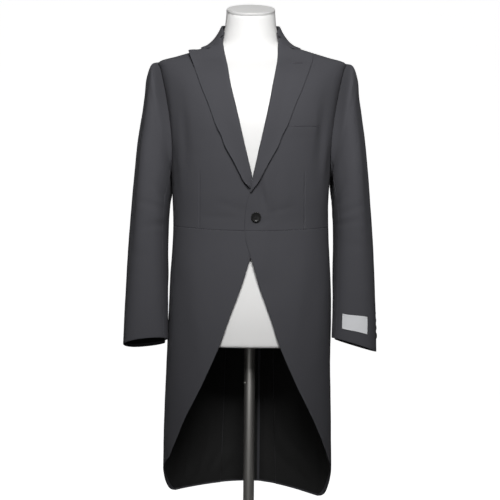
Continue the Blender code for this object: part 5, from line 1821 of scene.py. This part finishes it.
def paint_stage(name, colour, roughness):
    """A matt pale surface that looks evenly bright to the camera and lights nothing by itself."""
    wire, shader = new_material(name)
    place = wire.node("TexCoord").outputs["Object"]
    slow = wire.noise(place, 1.5, 2.0)
    light = np.array(colour)
    wire.feed(shader.inputs["Base Color"], wire.mix(slow, (*(0.985 * light), 1), (*light, 1)))
    wire.feed(shader.inputs["Roughness"], wire.maths("ADD", wire.maths("MULTIPLY", slow, 0.05), roughness))
    set_shader(shader, Specular_IOR_Level=0.2)
    seen = wire.node("LightPath").outputs["Is Camera Ray"]
    shader.inputs["Emission Color"].default_value = (1, 1, 1, 1)
    wire.feed(shader.inputs["Emission Strength"], wire.maths("MULTIPLY", seen, STAGE_GLOW))


# Stage, lights and camera
def build_cove(stage):
    """A round floor that turns up into a pale wall, far enough out for every view."""
    deselect_all()
    bpy.ops.mesh.primitive_circle_add(vertices=96, radius=FLOOR_RADIUS, fill_type="NGON")
    cove = bpy.context.active_object
    bpy.ops.object.mode_set(mode="EDIT")
    bpy.ops.mesh.select_all(action="SELECT")
    bpy.ops.mesh.edge_face_add()
    bpy.ops.mesh.select_mode(type="EDGE")
    bpy.ops.mesh.select_all(action="SELECT")
    bpy.ops.mesh.region_to_loop()
    turns = np.radians(np.linspace(0, 90, 9))
    reach = FLOOR_RADIUS + COVE_RADIUS * np.sin(turns)
    rise = COVE_RADIUS * (1 - np.cos(turns))
    for before, after, low, high in zip(reach, reach[1:], rise, rise[1:]):
        bpy.ops.mesh.extrude_edges_move(TRANSFORM_OT_translate={"value": (0, 0, high - low)})
        bpy.ops.transform.resize(value=(after / before, after / before, 1), center_override=(0, 0, high))
    bpy.ops.mesh.extrude_edges_move(TRANSFORM_OT_translate={"value": (0, 0, WALL_HEIGHT)})
    bpy.ops.object.mode_set(mode="OBJECT")
    bpy.ops.object.shade_smooth_by_angle(angle=math.radians(30))
    cove.name = "studio_cove"
    cove.data.materials.append(bpy.data.materials["studio_floor"])


def add_area_light(name, power, width, height, location, target, spread=180.0):
    light = bpy.data.lights.new(name, "AREA")
    light.shape = "RECTANGLE"
    light.size, light.size_y = width, height
    light.energy = power
    light.spread = math.radians(spread)
    lamp = bpy.data.objects.new(name, light)
    lamp.location = location
    way = Vector(target) - Vector(location)
    lamp.rotation_euler = way.to_track_quat("-Z", "Y").to_euler()
    bpy.context.scene.collection.objects.link(lamp)


def build_camera():
    """The photograph's view: level, a little rolled, its centre a fraction left of the coat's."""
    scene = bpy.context.scene
    camera = bpy.data.cameras.new("photo_view")
    camera.sensor_width = SENSOR
    camera.lens = SENSOR * CAMERA_AHEAD / FRAME_WIDTH_THERE
    camera.shift_x = (FRAME_PIXELS / 2 - OPTICAL_CENTRE_X) / FRAME_PIXELS
    camera.dof.use_dof = False
    seat = bpy.data.objects.new("photo_view", camera)
    seat.location = (0, -CAMERA_AHEAD, CAMERA_Z)
    seat.rotation_euler = (math.radians(90), math.radians(CAMERA_ROLL), 0)
    scene.collection.objects.link(seat)
    scene.camera = seat


def light_studio(stage):
    scene = bpy.context.scene
    scene.view_settings.view_transform = "Standard"
    world = bpy.data.worlds.new("studio_air")
    world.use_nodes = True
    sky = world.node_tree.nodes["Background"]
    sky.inputs["Color"].default_value = (1, 1, 1, 1)
    sky.inputs["Strength"].default_value = stage.ambient
    scene.world = world
    add_area_light("key", stage.key_power, 1.1, 1.0, (0.1, -2.5, 2.6), (0, 0, 1.44), spread=54.0)
    add_area_light("fill", stage.fill_power, 3.0, 2.2, (-1.2, -4.2, 1.6), (0, 0, 1.0))
    add_area_light("rear", stage.rear_power, 3.5, 2.0, (0.0, 4.2, 3.4), (0, 0.4, 1.1))


# Settings a user may change
class CoatSettings(bpy.types.PropertyGroup):
    crease_strength: bpy.props.FloatProperty(
        name="Crease strength", description="How strongly creases and ripples show", default=1.0, min=0.0, max=1.4,
        subtype="FACTOR")
    thread_spacing: bpy.props.FloatProperty(
        name="Thread spacing", description="Distance between the wool's threads", default=0.0007, min=0.0003,
        precision=5, unit="LENGTH")
    wool_dark: bpy.props.FloatVectorProperty(
        name="Wool, dark thread", description="Colour of the darker wool threads", default=(0.0195, 0.0168, 0.0225),
        subtype="COLOR", min=0, max=1)
    wool_light: bpy.props.FloatVectorProperty(
        name="Wool, light thread", description="Colour of the lighter wool threads", default=(0.060, 0.0535, 0.068),
        subtype="COLOR", min=0, max=1)
    # Painted shade: how far the wool's colour darkens where it turns from the eye.
    painted_slant_shade: bpy.props.FloatProperty(
        name="Slant dimming", description="How much darker the wool looks where it turns from the eye", default=0.52,
        min=0, max=1, subtype="FACTOR")
    satin: bpy.props.FloatVectorProperty(
        name="Lining", description="Colour of the satin lining", default=(0.0075, 0.0075, 0.0085), subtype="COLOR",
        min=0, max=1)
    button: bpy.props.FloatVectorProperty(
        name="Button", description="Colour of the horn buttons", default=(0.008, 0.008, 0.009), subtype="COLOR",
        min=0, max=1)
    label: bpy.props.FloatVectorProperty(
        name="Label", description="Colour of the blank woven label", default=(0.87, 0.88, 0.9), subtype="COLOR",
        min=0, max=1)


class StandSettings(bpy.types.PropertyGroup):
    form: bpy.props.FloatVectorProperty(
        name="Form", description="Colour of the form's lacquer", default=(0.88, 0.875, 0.865), subtype="COLOR",
        min=0, max=1)
    # Painted shade: the cap's tilted top drawn darker, as a share of the form's colour.
    cap_painted_shade: bpy.props.FloatProperty(
        name="Cap shade", description="The cap's colour as a share of the form's", default=0.86, min=0, max=1,
        subtype="FACTOR")
    steel: bpy.props.FloatVectorProperty(
        name="Steel", description="Colour of the pole and base plate", default=(0.56, 0.54, 0.52), subtype="COLOR",
        min=0, max=1)


class StageSettings(bpy.types.PropertyGroup):
    floor: bpy.props.FloatVectorProperty(
        name="Floor", description="Colour of the floor and wall", default=(0.75, 0.75, 0.75), subtype="COLOR",
        min=0, max=1)
    key_power: bpy.props.FloatProperty(
        name="Key light", description="Power of the main soft light", default=9.2, min=0, unit="POWER")
    fill_power: bpy.props.FloatProperty(
        name="Fill light", description="Power of the wide front light", default=8.5, min=0, unit="POWER")
    rear_power: bpy.props.FloatProperty(
        name="Rear light", description="Power of the light on the wall behind", default=12.0, min=0, unit="POWER")
    ambient: bpy.props.FloatProperty(
        name="Ambient light", description="Strength of the even light from all sides", default=0.07, min=0)


# Operators
class MORNING_COAT_OT_materials(bpy.types.Operator):
    """Paint the wool, satin, horn, tape, lacquer and steel"""
    bl_idname = "morning_coat.materials"
    bl_label = "Materials"

    def execute(self, context):
        scene = context.scene
        weave, stitches, mottle = weave_group(), stitch_group(), mottle_group()
        coat, stand, stage = scene.morning_coat, scene.morning_coat_stand, scene.morning_coat_stage
        paint_wool(coat, weave, stitches)
        paint_satin(coat, weave)
        paint_label(coat, weave, stitches)
        paint_thread("charcoal_thread", coat.wool_light)
        paint_thread("dark_thread", (0.02, 0.02, 0.022))
        paint_thread("white_thread", (0.7, 0.7, 0.72))
        paint_button(coat, mottle)
        paint_form(stand, mottle)
        paint_steel(stand)
        paint_stage("studio_floor", stage.floor, 0.9)
        return {"FINISHED"}


class MORNING_COAT_OT_form(bpy.types.Operator):
    """Add the limbless form and its tilted neck cap"""
    bl_idname = "morning_coat.form"
    bl_label = "Form and neck cap"

    def execute(self, context):
        build_form()
        build_neck_cap()
        return {"FINISHED"}


class MORNING_COAT_OT_stand(bpy.types.Operator):
    """Add the steel pole and the base plate"""
    bl_idname = "morning_coat.stand"
    bl_label = "Stand"

    def execute(self, context):
        build_pole()
        build_base()
        return {"FINISHED"}


class MORNING_COAT_OT_body(bpy.types.Operator):
    """Add the foreparts, side bodies and backs"""
    bl_idname = "morning_coat.body"
    bl_label = "Body panels"

    def execute(self, context):
        for side in (1, -1):
            build_forepart(side)
            build_side_body(side)
            build_back(side)
        return {"FINISHED"}


class MORNING_COAT_OT_skirts(bpy.types.Operator):
    """Add the cutaway skirts"""
    bl_idname = "morning_coat.skirts"
    bl_label = "Skirts"

    def execute(self, context):
        for side in (1, -1):
            build_skirt(side)
        return {"FINISHED"}


class MORNING_COAT_OT_lapels(bpy.types.Operator):
    """Add the peaked lapels, the collar and the lapel's buttonhole"""
    bl_idname = "morning_coat.lapels"
    bl_label = "Lapels and collar"

    def execute(self, context):
        for side in (1, -1):
            build_lapel(side)
        build_collar()
        build_buttonhole()
        return {"FINISHED"}


class MORNING_COAT_OT_sleeves(bpy.types.Operator):
    """Add the top sleeves and the under sleeves"""
    bl_idname = "morning_coat.sleeves"
    bl_label = "Sleeves"

    def execute(self, context):
        for side in (1, -1):
            for kind in ("top", "under"):
                build_sleeve(side, kind)
        return {"FINISHED"}


class MORNING_COAT_OT_linings(bpy.types.Operator):
    """Add the satin linings of the skirts, tails and cuffs"""
    bl_idname = "morning_coat.linings"
    bl_label = "Linings"

    def execute(self, context):
        for side in (1, -1):
            build_skirt_lining(side)
            build_tail_lining(side)
            build_cuff_lining(side)
        return {"FINISHED"}


class MORNING_COAT_OT_trimmings(bpy.types.Operator):
    """Add the breast welt and the blank sleeve label"""
    bl_idname = "morning_coat.trimmings"
    bl_label = "Welt and label"

    def execute(self, context):
        build_welt()
        build_label()
        build_label_tacks()
        return {"FINISHED"}


class MORNING_COAT_OT_buttons(bpy.types.Operator):
    """Add the front, hip and cuff buttons with their threads"""
    bl_idname = "morning_coat.buttons"
    bl_label = "Buttons"

    def execute(self, context):
        sewn_buttons(FRONT_BUTTON["radius"], FRONT_BUTTON["thick"], front_button_spot())
        sewn_buttons(HIP_BUTTON["radius"], HIP_BUTTON["thick"], hip_button_spots())
        sewn_buttons(CUFF_BUTTON["radius"], CUFF_BUTTON["thick"], cuff_button_spots())
        return {"FINISHED"}


class MORNING_COAT_OT_stage(bpy.types.Operator):
    """Add the pale studio, its soft lights and the camera"""
    bl_idname = "morning_coat.stage"
    bl_label = "Studio and camera"

    def execute(self, context):
        stage = context.scene.morning_coat_stage
        build_cove(stage)
        light_studio(stage)
        build_camera()
        return {"FINISHED"}


OPERATORS = (
    MORNING_COAT_OT_materials, MORNING_COAT_OT_form, MORNING_COAT_OT_stand, MORNING_COAT_OT_body,
    MORNING_COAT_OT_skirts, MORNING_COAT_OT_lapels, MORNING_COAT_OT_sleeves, MORNING_COAT_OT_linings,
    MORNING_COAT_OT_trimmings, MORNING_COAT_OT_buttons, MORNING_COAT_OT_stage,
)
SETTINGS = {
    "morning_coat": CoatSettings,
    "morning_coat_stand": StandSettings,
    "morning_coat_stage": StageSettings,
}


class MORNING_COAT_PT_panel(bpy.types.Panel):
    """Settings and steps of the morning coat"""
    bl_idname = "MORNING_COAT_PT_panel"
    bl_label = "Morning Coat"
    bl_space_type = "VIEW_3D"
    bl_region_type = "UI"
    bl_category = "Morning Coat"

    def draw(self, context):
        for name, settings in SETTINGS.items():
            box = self.layout.box()
            for label in settings.__annotations__:
                box.prop(getattr(context.scene, name), label)
        for operator in OPERATORS:
            self.layout.operator(operator.bl_idname)


def register():
    for part in (*SETTINGS.values(), *OPERATORS, MORNING_COAT_PT_panel):
        bpy.utils.register_class(part)
    for name, settings in SETTINGS.items():
        setattr(bpy.types.Scene, name, bpy.props.PointerProperty(type=settings))


def unregister():
    for name in SETTINGS:
        delattr(bpy.types.Scene, name)
    for part in (MORNING_COAT_PT_panel, *reversed(OPERATORS), *SETTINGS.values()):
        bpy.utils.unregister_class(part)


def main():
    register()
    for operator in OPERATORS:
        group, name = operator.bl_idname.split(".")
        getattr(getattr(bpy.ops, group), name)()


if __name__ == "__main__":
    main()
